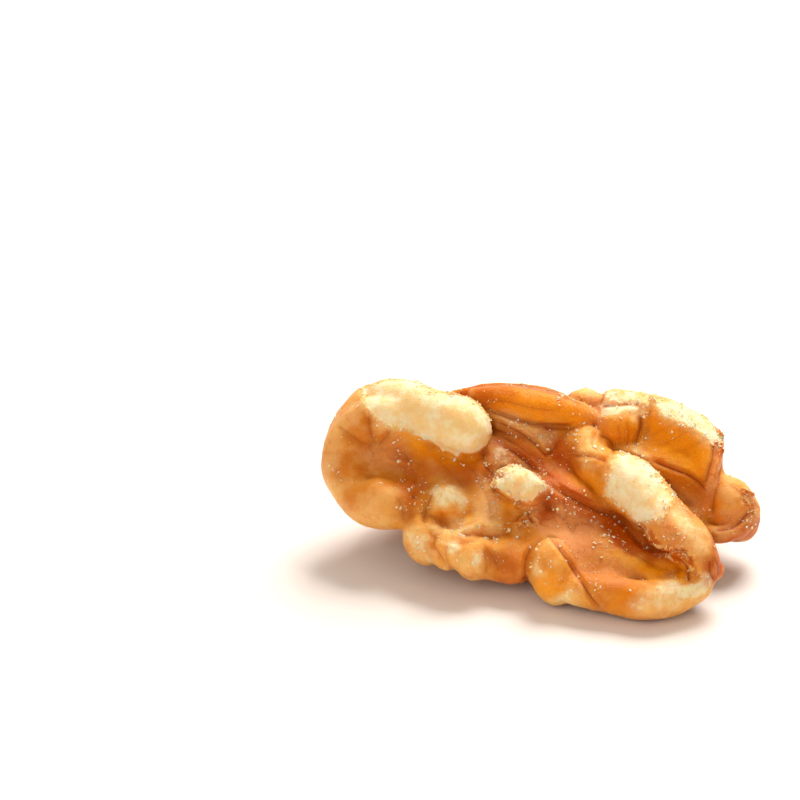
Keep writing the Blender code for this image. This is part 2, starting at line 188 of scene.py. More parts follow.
FACE_FOLDS = {
    "left rim": (1.4, [(-13.9, 18.1, 11.2, 1.3), (-15.6, 16.3, 9.9, 1.4), (-16.4, 14.1, 8.4, 1.38),
        (-16.4, 11.9, 6.8, 1.38), (-15.6, 9.9, 5.6, 1.35), (-14.0, 8.9, 5.0, 1.5), (-12.0, 8.75, 4.9, 1.5),
        (-10.0, 9.0, 5.0, 1.2)]),
    "bean": (0.4, [(-12.9, 18.2, 12.0, 1.5), (-11.0, 17.7, 11.7, 1.95), (-8.9, 16.7, 11.2, 2.2),
        (-6.8, 15.95, 10.8, 2.4), (-6.1, 15.6, 10.6, 2.2)]),
    "tongue": (0.3, [(-5.1, 18.2, 11.0, 0.9), (-3.9, 18.1, 11.1, 1.2), (-2.3, 17.8, 11.1, 1.45),
        (-0.4, 17.4, 11.0, 1.6), (1.5, 17.1, 10.7, 1.5), (3.2, 16.7, 10.2, 1.2), (4.2, 16.4, 9.7, 0.9)]),
    "tongue rim": (0.25, [(-6.9, 18.2, 10.3, 0.7), (-5.6, 18.7, 11.0, 0.5), (-3.6, 19.0, 11.4, 0.45),
        (-0.9, 18.85, 11.5, 0.45), (1.9, 18.3, 11.1, 0.45), (4.0, 17.0, 10.0, 0.4)]),
    "pink fold": (0.4, [(-4.6, 16.7, 10.1, 0.7), (-2.9, 16.3, 10.1, 0.85), (-1.6, 15.8, 9.8, 0.85),
        (-0.4, 15.3, 9.4, 0.75), (0.7, 14.6, 8.7, 0.35)]),
    "long ridge": (0.35, [(3.9, 14.2, 8.3, 1.6), (4.8, 12.5, 7.7, 1.8), (7.0, 11.0, 7.2, 2.5),
        (8.6, 9.7, 6.6, 2.35), (9.8, 8.6, 6.1, 2.15), (11.6, 6.6, 5.2, 2.15), (13.0, 5.0, 4.2, 1.6),
        (13.7, 4.1, 3.5, 1.05)]),
    "front rim": (0.5, [(2.9, 2.3, 2.0, 1.3), (5.0, 2.1, 1.9, 1.5), (8.2, 1.6, 1.8, 1.65),
        (10.8, 1.9, 1.85, 1.6), (12.5, 2.7, 2.2, 1.45), (13.4, 3.5, 2.8, 1.1)]),
    "right crest": (0.6, [(7.8, 17.4, 10.1, 1.3), (9.0, 17.1, 10.0, 1.5), (10.7, 16.3, 9.7, 1.75),
        (12.5, 15.3, 9.1, 1.75), (13.8, 13.8, 8.1, 1.6), (14.1, 11.9, 6.9, 1.4), (14.2, 10.4, 5.8, 1.2)]),
    "end rim": (0.2, [(13.6, 6.9, 3.5, 0.7), (15.3, 6.8, 3.7, 0.75), (16.9, 7.5, 4.1, 0.75),
        (17.8, 8.9, 4.9, 0.65)]),
    "streak": (0.4, [(-4.0, 15.3, 8.6, 0.5), (-2.2, 13.7, 7.9, 0.5), (-0.6, 12.7, 7.5, 0.5),
        (1.7, 10.7, 6.6, 0.5), (4.2, 9.1, 5.6, 0.4)]),
}
GRID_LOW, GRID_HIGH = (-21.0, -4.0, -1.4), (21.0, 23.0, 15.5)

# Marks on the inner face, in pixels of the photograph. A dent is (x, y, radius mm, depth mm),
# and a negative depth is a swelling.
DENTS = {
    "disc pit": (376, 449, 1.1, 0.50),
    "disc upper left": (352, 432, 1.5, 0.16),
    "disc right slope": (400, 472, 1.6, 0.25),
    "disc low ridge": (350, 471, 0.9, -0.20),
    "disc glitter bump": (384, 495, 0.9, -0.25),
    "disc low right": (398, 512, 0.9, 0.18),
    "red pit": (416, 497, 0.35, 0.40),
    "left knob top": (445, 494, 1.0, -0.45),
    "left knob hollow": (455, 521, 0.9, 0.40),
    "toe cleft": (438, 556, 0.5, 0.35),
    "toe bead": (443, 546, 0.7, -0.35),
    "front toe crown": (462, 560, 0.9, -0.25),
    "front toe step": (452, 549, 0.35, -0.20),
    "toe web hollow": (495, 560, 1.1, 0.30),
    "shadow by knob": (549, 507, 0.5, 0.45),
    "flap hollow": (556, 456, 0.8, 0.40),
    "plateau hollow": (585, 548, 1.5, 0.25),
    "apron swell": (600, 590, 1.2, -0.15),
    "trough left": (630, 548, 1.2, 0.20),
    "trough right": (668, 572, 1.0, 0.10),
    "rim swell": (665, 600, 1.4, -0.12),
    "rim dip": (612, 600, 0.8, 0.20),
    "pip hollow": (603, 441, 0.6, 0.30),
    "ridge shoulder": (650, 490, 0.8, 0.10),
    "wall swell": (678, 441, 1.6, -0.30),
    "disc middle": (374, 478, 1.3, -0.38),
    "bean shoulder": (362, 398, 0.8, -0.20),
    "wall foot": (690, 505, 1.4, 0.35),
    "end hollow": (735, 515, 0.9, 0.25),
}
# A crease is (depth mm, half width mm, strength of its dark line, points). The dark line is partly the skin's
# darker veins and partly painted shade in the crease. A negative depth is a raised fold.
CREASES = {
    "disc up left": (0.22, 0.30, 0.40, [(368, 414), (370, 432), (376, 449)]),
    "disc up right": (0.18, 0.24, 0.55, [(392, 429), (385, 439), (377, 449)]),
    "disc left": (0.16, 0.30, 0.35, [(336, 424), (350, 436), (362, 444), (376, 450)]),
    "disc right": (0.10, 0.22, 0.20, [(377, 450), (390, 451), (403, 446)]),
    "disc right fold": (-0.16, 0.24, 0.0, [(381, 455), (391, 452), (402, 445), (410, 441)]),
    "disc pink fold": (-0.26, 0.30, 0.0, [(380, 459), (392, 463), (405, 464), (415, 470)]),
    "disc low crease": (0.08, 0.30, 0.10, [(332, 474), (348, 481), (366, 480), (380, 476)]),
    "disc foot": (0.06, 0.22, 0.35, [(397, 497), (402, 508), (404, 524)]),
    "bean under": (0.28, 0.45, 0.15, [(420, 443), (436, 453), (455, 460), (478, 461), (492, 449)]),
    "saddle a": (0.06, 0.22, 0.25, [(404, 452), (412, 470), (415, 486)]),
    "saddle b": (0.05, 0.20, 0.25, [(440, 462), (455, 477), (466, 490)]),
    "saddle c": (0.05, 0.20, 0.25, [(470, 464), (478, 480), (488, 500), (492, 522)]),
    "cheek edge": (0.14, 0.20, 0.70, [(486, 448), (485, 460), (490, 472), (500, 480)]),
    "streak main": (0.30, 0.24, 0.80, [(491, 436), (502, 445), (514, 452), (527, 462), (540, 475),
        (560, 491), (591, 508), (618, 519), (643, 544), (667, 559)]),
    "streak upper": (0.14, 0.18, 0.60, [(500, 436), (516, 445), (533, 458), (548, 473), (566, 485)]),
    "streak third": (0.12, 0.18, 0.55, [(537, 462), (552, 478), (572, 492), (598, 505)]),
    "streak fourth": (0.10, 0.17, 0.50, [(528, 470), (546, 486), (566, 500), (592, 513)]),
    "streak fold": (-0.12, 0.16, 0.0, [(520, 448), (545, 470), (570, 489), (600, 507)]),
    "streak fold low": (-0.10, 0.16, 0.0, [(536, 478), (556, 495), (580, 506)]),
    "flap edge": (0.20, 0.20, 0.80, [(492, 421), (505, 427), (520, 434), (534, 443), (546, 454), (556, 446),
        (562, 436)]),
    "flap top": (0.10, 0.18, 0.55, [(490, 409), (508, 415), (527, 422), (550, 427), (575, 425)]),
    "plateau a": (0.05, 0.16, 0.50, [(540, 503), (553, 512), (566, 522), (573, 536)]),
    "plateau b": (0.05, 0.16, 0.45, [(573, 536), (576, 526), (586, 524), (596, 528)]),
    "plateau c": (0.04, 0.14, 0.40, [(566, 522), (566, 510), (562, 500)]),
    "plateau tear": (0.20, 0.15, 0.60, [(513, 524), (520, 517), (527, 513), (531, 520), (535, 527)]),
    "bump right": (0.24, 0.20, 0.90, [(545, 534), (556, 543), (566, 556), (576, 572), (585, 588),
        (593, 601), (604, 613)]),
    "bump left": (0.20, 0.18, 0.80, [(533, 543), (526, 558), (525, 576), (531, 592), (541, 603)]),
    "apron seam": (0.06, 0.20, 0.30, [(486, 545), (494, 558), (498, 574)]),
    "toe seam left": (0.14, 0.18, 0.40, [(432, 530), (434, 543), (438, 556), (448, 567)]),
    "toe seam right": (0.12, 0.18, 0.35, [(449, 542), (446, 554), (450, 568), (460, 578)]),
    "toe brow line": (0.05, 0.24, 0.35, [(428, 532), (442, 541), (458, 544), (474, 540), (486, 531)]),
    "toe brow arc": (-0.20, 0.34, 0.0, [(430, 524), (444, 531), (460, 532), (474, 527), (484, 518)]),
    "toe web line": (0.08, 0.20, 0.40, [(484, 549), (488, 562), (486, 578)]),
    "nib ring": (0.16, 0.16, 0.95, [(711, 560), (710, 567), (711, 575), (715, 581)]),
    "nib seam": (0.08, 0.20, 1.0, [(713, 556), (717, 563), (719, 570), (717, 578), (713, 584)]),
    "knob side": (0.26, 0.26, 0.40, [(432, 492), (427, 506), (424, 524)]),
    "knob foot": (0.16, 0.26, 0.10, [(438, 512), (448, 525), (462, 524)]),
    "small knob left": (0.16, 0.20, 0.50, [(492, 484), (500, 495), (512, 503)]),
    "small knob facet": (0.08, 0.13, 0.45, [(521, 468), (527, 480), (530, 497)]),
    "small knob foot": (0.12, 0.20, 0.30, [(512, 506), (528, 512), (543, 509)]),
    "ridge head line": (0.12, 0.18, 0.60, [(572, 457), (584, 456), (596, 458), (608, 463)]),
    "ridge head side": (0.08, 0.20, 0.30, [(598, 430), (592, 444), (600, 452)]),
    "ridge skin edge": (0.16, 0.17, 0.80, [(631, 520), (642, 532), (650, 546), (663, 554), (679, 551),
        (689, 558), (696, 569)]),
    "ridge side": (0.08, 0.18, 0.35, [(583, 478), (600, 499), (620, 515), (640, 530)]),
    "trough crease": (0.16, 0.18, 0.90, [(678, 560), (686, 568), (690, 583)]),
    "trough line": (0.08, 0.22, 0.35, [(612, 535), (632, 552), (655, 566), (680, 574)]),
    "rim line": (0.06, 0.20, 0.20, [(628, 572), (650, 583), (675, 586), (700, 580)]),
    "wall crease": (0.18, 0.17, 0.95, [(650, 460), (660, 464), (673, 469), (690, 476), (701, 485),
        (706, 494)]),
    "wall vein a": (0.02, 0.16, 0.16, [(654, 448), (675, 440), (697, 424)]),
    "wall vein b": (0.02, 0.16, 0.16, [(665, 455), (687, 450), (712, 437)]),
    "wall vein c": (0.02, 0.16, 0.16, [(652, 436), (668, 428), (682, 421)]),
    "wall rim fold": (-0.18, 0.22, 0.0, [(721, 433), (720, 452), (716, 470), (709, 488)]),
    "wall rim line": (0.12, 0.16, 0.70, [(714, 440), (713, 458), (708, 474), (704, 488)]),
    "wall rim outer": (0.10, 0.16, 0.60, [(724, 446), (723, 462), (719, 480), (713, 500), (712, 520)]),
    "inner line": (0.05, 0.18, 0.35, [(672, 486), (686, 500), (697, 520)]),
    "end crease": (0.16, 0.18, 0.90, [(713, 531), (728, 529), (742, 521), (752, 509)]),
    "end line": (0.05, 0.18, 0.35, [(728, 484), (740, 492), (747, 504)]),
    "knuckle stripe a": (0.03, 0.14, 0.35, [(617, 424), (620, 436), (618, 448)]),
    "knuckle stripe b": (0.03, 0.14, 0.35, [(626, 421), (629, 434), (626, 449)]),
    "knuckle side": (0.14, 0.17, 0.85, [(640, 414), (641, 428), (637, 440), (634, 448)]),
    "knuckle crown": (-0.10, 0.20, 0.0, [(603, 411), (616, 409), (632, 410), (640, 414)]),
    "knuckle side pale": (-0.14, 0.16, 0.0, [(644, 412), (645, 426), (641, 438)]),
    "knuckle top": (0.14, 0.16, 0.55, [(600, 407), (614, 405), (630, 404), (642, 406)]),
    "pip ring": (0.14, 0.16, 0.75, [(598, 433), (608, 438), (614, 447), (612, 455)]),
    "tongue vein": (0.04, 0.16, 0.40, [(486, 400), (510, 403), (535, 409), (560, 412)]),
    "tongue low": (0.14, 0.20, 0.70, [(482, 408), (497, 414), (515, 420), (535, 425), (560, 427),
        (578, 424)]),
    "tongue rim line": (0.06, 0.16, 0.85, [(452, 389), (470, 386), (495, 385), (520, 386), (545, 391),
        (566, 397), (585, 407), (592, 411)]),
    "top seam": (0.16, 0.16, 0.55, [(603, 388), (602, 398), (599, 407)]),
    "crest seam": (0.12, 0.18, 0.30, [(647, 396), (650, 406), (648, 418)]),
}
# Bare flesh, where the skin has rubbed off. All outlines are in pixels of the photograph.
BARE = {
    "bean": [(364, 392), (378, 383), (396, 379), (414, 382), (431, 390), (445, 395), (465, 396), (484, 408),
        (493, 425), (491, 444), (474, 454), (456, 456), (444, 451), (432, 443), (418, 436), (402, 431),
        (390, 427), (380, 423), (372, 416), (366, 406)],
    "ridge": [(614, 462), (622, 454), (635, 451), (648, 463), (662, 482), (676, 495), (666, 510),
        (654, 520), (640, 520), (620, 508), (605, 492), (606, 478)],
    "crest": [(654, 400), (672, 401), (690, 405), (706, 413), (717, 424), (722, 436), (712, 441),
        (702, 434), (688, 424), (675, 419), (663, 414)],
    "top block": [(607, 393), (630, 390), (648, 396), (646, 403), (624, 402), (609, 402)],
    "small knob": [(493, 486), (503, 472), (519, 463), (533, 466), (544, 478), (547, 489), (537, 497),
        (526, 500), (508, 496), (498, 491)],
}
# Thin skin that lets the flesh show through, and painted light: a painted highlight on the knuckle's crown,
# and painted light on the shaded flap and inner wall. This and the tables after it give (how much, outline).
PALE = {
    "toe blotch": (1.0, [(447, 546), (456, 542), (461, 549), (454, 556), (446, 553)]),
    "toe blotch right": (1.0, [(472, 550), (480, 551), (483, 563), (476, 565)]),
    # Painted highlight on the knuckle's crown.
    "knuckle crown": (1.0, [(603, 404), (620, 401), (638, 404), (640, 412), (622, 413), (605, 413)]),
    "bump spot": (0.8, [(531, 566), (539, 562), (542, 573), (534, 578)]),
    "bump foot": (0.85, [(548, 602), (558, 596), (570, 594), (574, 603), (560, 607)]),
    "knob spot": (1.0, [(430, 493), (440, 485), (447, 492), (440, 502), (432, 500)]),
    "rim crest": (1.0, [(655, 584), (668, 580), (684, 586), (700, 581), (714, 574), (712, 586), (698, 596),
        (680, 600), (662, 596)]),
    "left toe": (0.9, [(406, 533), (420, 526), (432, 533), (436, 552), (430, 564), (414, 560), (405, 548)]),
    "front toe": (0.65, [(445, 548), (462, 540), (484, 552), (482, 576), (462, 582), (447, 570)]),
    "round bump": (0.35, [(532, 548), (548, 540), (564, 558), (572, 580), (566, 600), (548, 604),
        (534, 588)]),
    "ridge head": (0.60, [(570, 440), (580, 428), (598, 430), (606, 448), (600, 470), (582, 474),
        (572, 460)]),
    "ridge end": (0.85, [(664, 512), (682, 498), (706, 526), (718, 552), (704, 562), (682, 545)]),
    "disc rim": (0.60, [(322, 462), (330, 418), (362, 390), (372, 404), (348, 428), (338, 470), (350, 510),
        (392, 520), (390, 532), (350, 524), (330, 495)]),
    "disc bump": (0.55, [(352, 492), (378, 486), (398, 492), (396, 516), (368, 522), (350, 510)]),
    "bean bank": (0.55, [(395, 376), (420, 380), (445, 389), (440, 396), (418, 386), (396, 381)]),
    "front rim": (0.85, [(622, 604), (644, 588), (655, 583), (700, 583), (714, 578), (708, 598), (682, 613),
        (636, 619)]),
    # Painted light on the flap, which lies in the tongue's shade.
    "flap": (0.75, [(490, 411), (512, 414), (540, 428), (560, 432), (547, 450), (528, 436), (506, 426)]),
    "cheek": (0.95, [(490, 452), (502, 442), (518, 456), (512, 470), (496, 474)]),
    # Painted light on the inner wall, which lies in shade.
    "inner": (0.5, [(676, 488), (700, 494), (704, 528), (690, 522), (678, 506)]),
    "disc top": (0.35, [(334, 412), (352, 394), (370, 396), (372, 406), (350, 424)]),
    "disc": (0.25, [(345, 410), (372, 404), (392, 428), (402, 446), (392, 470), (350, 488), (330, 470)]),
    "valley": (0.8, [(478, 476), (498, 500), (506, 530), (486, 540), (474, 520)]),
    "streak": (0.05, [(516, 444), (548, 466), (584, 496), (566, 496), (536, 472)]),
    "top bump": (0.75, [(571, 390), (590, 385), (602, 390), (602, 408), (588, 406), (572, 397)]),
    "top block": (0.75, [(604, 392), (630, 389), (650, 396), (652, 408), (625, 406), (604, 404)]),
    "crest": (0.95, [(640, 395), (690, 402), (722, 424), (726, 446), (714, 448), (690, 432), (660, 418)]),
    # Painted highlight on the knuckle's top.
    "knuckle": (1.2, [(602, 406), (618, 404), (638, 407), (638, 414), (620, 413), (604, 415)]),
    "left knob": (1.0, [(430, 494), (440, 485), (456, 486), (468, 498), (464, 510), (446, 512),
        (432, 506)]),
    "right end": (0.60, [(718, 486), (730, 480), (742, 492), (742, 510), (726, 514)]),
    "brow": (0.85, [(430, 526), (455, 519), (486, 522), (484, 533), (456, 538), (432, 534)]),
    "end low": (0.7, [(716, 534), (736, 530), (750, 518), (754, 524), (740, 536), (718, 541)]),
    "apron": (0.15, [(584, 562), (606, 570), (640, 582), (630, 606), (604, 604), (592, 588)]),
    "small knob": (0.80, [(496, 484), (506, 468), (524, 460), (544, 474), (547, 488), (538, 496),
        (512, 494)]),
}
# Torn edges of the skin, rough and crumbly.
TORN = {
    "ridge edge": (1.0, [(634, 520), (646, 527), (660, 541), (680, 547), (695, 560), (700, 574), (692, 580),
        (683, 563), (662, 556), (644, 542)]),
    "crest end": (1.0, [(718, 428), (728, 436), (727, 454), (720, 450)]),
    "end top": (0.9, [(738, 486), (756, 498), (758, 514), (748, 508)]),
    "plateau tear": (0.8, [(511, 522), (526, 511), (537, 526), (530, 531), (518, 526)]),
    "small knob": (0.7, [(489, 482), (498, 470), (506, 478), (500, 494)]),
}
# Painted glow: saturated orange where light shines through thin walls, and saturated painted shade in hollows
# and under overhangs.
PAINTED_GLOW = {
    "tongue": (0.9, [(462, 392), (500, 389), (545, 394), (588, 410), (584, 426), (545, 426), (495, 414)]),
    "bean shade": (1.0, [(405, 433), (432, 445), (452, 457), (482, 455), (484, 464), (450, 468),
        (420, 456)]),
    "wall": (1.0, [(648, 410), (670, 420), (696, 434), (716, 442), (712, 474), (700, 482), (672, 466),
        (650, 452)]),
    "knob shade": (0.9, [(500, 496), (516, 502), (545, 500), (546, 512), (528, 514), (508, 508)]),
    "trough end": (1.0, [(632, 558), (652, 564), (674, 564), (690, 572), (690, 584), (655, 583),
        (636, 572)]),
    "toe hollow": (0.7, [(440, 512), (468, 510), (472, 524), (448, 528)]),
    "top": (0.6, [(646, 396), (660, 404), (668, 418), (650, 416)]),
    "round bump foot": (1.0, [(534, 572), (548, 568), (566, 580), (568, 598), (548, 602), (536, 594)]),
    "knuckle": (0.8, [(603, 418), (620, 416), (640, 418), (640, 444), (622, 452), (606, 444)]),
    "front rim": (1.0, [(612, 590), (632, 584), (640, 600), (636, 614), (612, 608)]),
    "apron": (0.4, [(580, 562), (610, 568), (636, 582), (610, 596), (594, 590)]),
    "inner wall": (0.9, [(655, 465), (700, 482), (712, 530), (698, 530), (672, 492)]),
    "ridge flank": (0.7, [(570, 462), (590, 474), (606, 496), (626, 514), (618, 518), (590, 500),
        (572, 480)]),
    "right end": (0.6, [(714, 500), (742, 508), (738, 526), (714, 528)]),
}
# Pinkish membrane. Then red-brown: the skin's own dark red-brown on the nib, rims, rags and streaks, and
# painted shade in the hollows, the trough, the saddle and beside the knobs.
MEMBRANE = {
    "plateau": (1.0, [(520, 503), (540, 496), (560, 496), (600, 520), (608, 550), (580, 562), (545, 538),
        (524, 524)]),
    "cheek": (0.7, [(488, 444), (504, 438), (520, 456), (514, 474), (494, 474)]),
    "flap": (0.5, [(489, 411), (510, 415), (532, 425), (560, 430), (547, 452), (530, 440), (510, 430),
        (490, 420)]),
    "streaks": (0.2, [(510, 448), (540, 462), (575, 486), (605, 508), (580, 508), (545, 490)]),
    "end rim": (0.8, [(722, 520), (742, 512), (754, 500), (752, 514), (736, 526), (724, 528)]),
    "wall rim": (0.8, [(716, 433), (726, 440), (724, 462), (718, 486), (706, 500), (708, 480), (714, 460)]),
    "disc middle": (0.6, [(360, 450), (405, 440), (410, 470), (372, 472)]),
    "saddle": (0.5, [(470, 470), (490, 478), (500, 520), (486, 530), (474, 505)]),
    "ridge edge": (0.6, [(642, 520), (668, 512), (690, 548), (664, 552)]),
    "apron": (0.6, [(570, 560), (610, 556), (640, 575), (615, 590), (590, 580)]),
    "knuckle": (0.7, [(590, 400), (606, 404), (606, 426), (592, 428)]),
    "inner": (0.8, [(676, 488), (700, 494), (704, 528), (690, 522), (678, 506)]),
}
RUST_AND_SHADE = {
    "saddle": (0.65, [(392, 450), (420, 456), (470, 462), (484, 466), (470, 486), (440, 478), (424, 496),
        (412, 522), (398, 516), (404, 490)]),
    "streak": (0.85, [(486, 436), (508, 444), (560, 476), (612, 512), (668, 556), (650, 562), (600, 522),
        (555, 496), (520, 462)]),
    "flap hollow": (1.0, [(548, 448), (562, 436), (572, 446), (576, 470), (566, 476), (550, 462)]),
    "fold hollow": (0.6, [(505, 436), (522, 440), (544, 458), (558, 470), (540, 466), (514, 448)]),
    "trough": (1.0, [(597, 510), (625, 521), (645, 532), (655, 547), (668, 552), (681, 555), (684, 559),
        (666, 560), (646, 558), (620, 550), (602, 540)]),
    "inner wall": (0.5, [(650, 460), (676, 470), (704, 488), (700, 496), (678, 490), (664, 480)]),
    "apron side": (0.7, [(486, 550), (512, 552), (524, 580), (498, 586)]),
    "by the bump": (0.5, [(572, 560), (596, 575), (606, 604), (596, 606), (580, 580)]),
    "end rim": (1.0, [(714, 542), (738, 538), (754, 524), (766, 512), (764, 534), (738, 550), (714, 550)]),
    "apron": (0.40, [(562, 540), (600, 550), (642, 575), (640, 602), (606, 606), (588, 588)]),
    "plateau side": (0.30, [(575, 520), (604, 528), (612, 552), (590, 560), (574, 545)]),
    "streak top": (0.80, [(518, 448), (540, 458), (590, 494), (572, 500), (544, 482)]),
    "rim left": (0.40, [(612, 596), (634, 590), (640, 612), (616, 612)]),
    "nib foot": (0.8, [(708, 560), (716, 556), (718, 584), (710, 582)]),
    "nib": (1.0, [(711, 561), (720, 557), (735, 562), (735, 580), (714, 580)]),
    "rag": (0.9, [(719, 430), (729, 436), (729, 455), (722, 452)]),
    "tongue root": (0.6, [(446, 388), (480, 382), (505, 386), (512, 394), (490, 404), (458, 396)]),
    "beside knob": (0.9, [(544, 498), (552, 494), (553, 514), (545, 516)]),
    "cheek side": (0.7, [(482, 450), (489, 450), (494, 474), (486, 472)]),
}


def from_hex(text):
    """Linear colour of an sRGB hex value: each channel follows the sRGB curve."""
    values = [int(text[i:i + 2], 16) / 255 for i in (1, 3, 5)]
    return (*(v / 12.92 if v <= 0.04045 else ((v + 0.055) / 1.055) ** 2.4 for v in values), 1.0)


def from_picture(points):
    """Pixels of the photograph as (across, rise) on the board."""
    pixels = np.atleast_2d(np.asarray(points, float))
    return np.stack([pixels[:, 0] - PICTURE_ZERO[0], PICTURE_ZERO[1] - pixels[:, 1]], axis=1) * PIXEL


def on_board(across, rise, height):
    """The point that the board shows at (across, rise) and that lies height above the table."""
    return np.array([across, (rise - height * cos(SIGHT)) / sin(SIGHT), height])


def level(x, y, height):
    """The point at x and y in the table's plane, height above it."""
    return np.array([x, y, height], float)


def rotation(turn, lean):
    """A lean round the first axis and then a turn round the third."""
    t, s = radians(turn), radians(lean)
    spin = np.array([[cos(t), -sin(t), 0], [sin(t), cos(t), 0], [0, 0, 1]])
    tip = np.array([[1, 0, 0], [0, cos(s), -sin(s)], [0, sin(s), cos(s)]])
    return spin @ tip


def smooth_path(knots, steps):
    """A Catmull-Rom curve through the knots: each span is a cubic with the slope of its neighbours."""
    rows = np.asarray(knots, float)
    rows = np.vstack([2 * rows[0] - rows[1], rows, 2 * rows[-1] - rows[-2]])
    a, b, c, d = (rows[i:len(rows) - 3 + i, None, :] for i in range(4))
    t = (np.arange(steps) / steps)[None, :, None]
    bend = 2 * a - 5 * b + 4 * c - d
    twist = 3 * b - a - 3 * c + d
    curve = 0.5 * (2 * b + (c - a) * t + bend * t**2 + twist * t**3)
    return np.vstack([curve.reshape(-1, rows.shape[1]), rows[-2]])


def noise(points, cell, seed):
    """Smooth random values from 0 to 1: hashed lattice values, blended with a quintic between them."""
    q = points / cell
    base = np.floor(q).astype(np.int64)
    part = q - base
    ease = part**3 * (part * (part * 6 - 15) + 10)
    total = np.zeros(len(points))
    for corner in np.ndindex(2, 2, 2):
        i, j, k = (base + corner).T
        h = (i * 73856093 ^ j * 19349663 ^ k * 83492791 ^ seed * 2654435761) & 0xFFFFFFFF
        h = (h ^ (h >> 15)) * 2246822519 & 0xFFFFFFFF
        h = (h ^ (h >> 13)) * 3266489917 & 0xFFFFFFFF
        value = ((h ^ (h >> 16)) & 0xFFFFFF) / 0xFFFFFF
        weight = np.prod(np.where(corner, ease, 1 - ease), axis=1)
        total += value * weight
    return total


def smoothstep(low, high, values):
    """0 below low, 1 above high, and a cubic between."""
    t = np.clip((values - low) / (high - low), 0, 1)
    return t * t * (3 - 2 * t)


class Growth:
    """Distances to the kernel's surface on a grid, negative inside, grown lobe by lobe."""

    def __init__(self, step):
        self.step = step
        self.low = np.array(GRID_LOW)
        self.axes = [np.arange(a, b + step, step) for a, b in zip(GRID_LOW, GRID_HIGH)]
        self.values = np.full([len(axis) for axis in self.axes], FAR, np.float32)

    def near(self, low, high):
        """The grid's block round a box, and the points in it."""
        spans = [np.searchsorted(axis, [a, b]) for axis, a, b in zip(self.axes, low, high)]
        block = tuple(slice(max(i - 1, 0), j + 1) for i, j in spans)
        grid = np.meshgrid(*[axis[s] for axis, s in zip(self.axes, block)], indexing="ij")
        return block, np.stack(grid, axis=-1).astype(np.float32)

    def join(self, block, distance, blend):
        """The nearer of two distances, rounded off by a parabola where they differ by under blend."""
        old = self.values[block]
        overlap = np.clip(blend - np.abs(old - distance), 0, None) / blend
        self.values[block] = np.minimum(old, distance) - overlap**2 * blend / 4

    def lobe(self, place, half_widths, stance, blend):
        """An ellipsoid: its distance is the scaled radius, corrected by the slope of that radius."""
        widths = np.array(half_widths)
        reach = np.sqrt(((stance * widths) ** 2).sum(1)) + 2 * blend + 3 * self.step
        block, points = self.near(place - reach, place + reach)
        local = (points - place.astype(np.float32)) @ stance.astype(np.float32)
        radius = np.sqrt(((local / widths) ** 2).sum(-1))
        slope = np.sqrt(((local / widths**2) ** 2).sum(-1))
        self.join(block, radius * (radius - 1) / np.maximum(slope, 1e-6), blend)

    def fold(self, rows, blend):
        """A tube: the distance to a smooth path, less a radius that changes evenly along each step."""
        path = smooth_path(rows, FOLD_STEPS)
        reach = path[:, 3].max() + 2 * blend + 3 * self.step
        block, points = self.near(path[:, :3].min(0) - reach, path[:, :3].max(0) + reach)
        distance = np.full(points.shape[:3], FAR, np.float32)
        for start, end in zip(path[:-1].astype(np.float32), path[1:].astype(np.float32)):
            span = end[:3] - start[:3]
            offset = points - start[:3]
            along = np.clip(offset @ span / max(span @ span, TINY), 0, 1)
            gap = np.sqrt(((offset - along[..., None] * span) ** 2).sum(-1))
            distance = np.minimum(distance, gap - start[3] - along * (end[3] - start[3]))
        self.join(block, distance, blend)


def grow_kernel(step):
    """All lobes and folds, the round side first."""
    growth = Growth(step)
    for _, place, widths, turn, lean, blend in CORE_LOBES:
        growth.lobe(level(*place), widths, rotation(turn, lean), blend)
    for blend, rows in ROUND_FOLDS.values():
        growth.fold(rows, blend)
    for _, place, widths, turn, lean, blend in FACE_LOBES:
        growth.lobe(on_board(*place), widths, BOARD @ rotation(turn, lean), blend)
    for blend, rows in FACE_FOLDS.values():
        growth.fold([(*on_board(*row[:3]), row[3]) for row in rows], blend)
    return growth


def skin_over(growth):
    """Surface net: a point in each cell that the surface crosses, at the mean of the crossings on
    its edges, and a face round each grid edge that the surface crosses."""
    values, cells = growth.values, np.array(growth.values.shape) - 1
    total = np.zeros((*cells, 3), np.float32)
    count = np.zeros(tuple(cells), np.float32)
    for axis in range(3):
        first, second = [a for a in range(3) if a != axis]
        for b, c in np.ndindex(2, 2):
            start = [slice(0, n) for n in cells]
            start[first], start[second] = slice(b, cells[first] + b), slice(c, cells[second] + c)
            end = list(start)
            end[axis] = slice(1, cells[axis] + 1)
            near, far = values[tuple(start)], values[tuple(end)]
            crossed = (near < 0) != (far < 0)
            total[..., axis] += np.where(crossed, near / np.where(crossed, near - far, 1), 0)
            total[..., first] += crossed * b
            total[..., second] += crossed * c
            count += crossed
    live = count > 0
    numbers = np.full(tuple(cells), -1, np.int64)
    numbers[live] = np.arange(live.sum())
    points = (np.argwhere(live) + total[live] / count[live][:, None]) * growth.step + growth.low
    faces = []
    for axis, (first, second) in enumerate([(1, 2), (2, 0), (0, 1)]):
        start = [slice(1, n) for n in cells]
        start[axis] = slice(0, cells[axis])
        end = list(start)
        end[axis] = slice(1, cells[axis] + 1)
        inside, beyond = values[tuple(start)] < 0, values[tuple(end)] < 0
        crossed = inside != beyond
        at = np.argwhere(crossed) + np.array([a != axis for a in range(3)])
        u, v = np.eye(3, dtype=int)[[first, second]]
        ring = np.stack([numbers[tuple((at - d).T)] for d in (u + v, v, 0 * u, u)], axis=1)
        faces.append(np.where((inside & ~beyond)[crossed][:, None], ring, ring[:, ::-1]))
    return points, np.concatenate(faces)


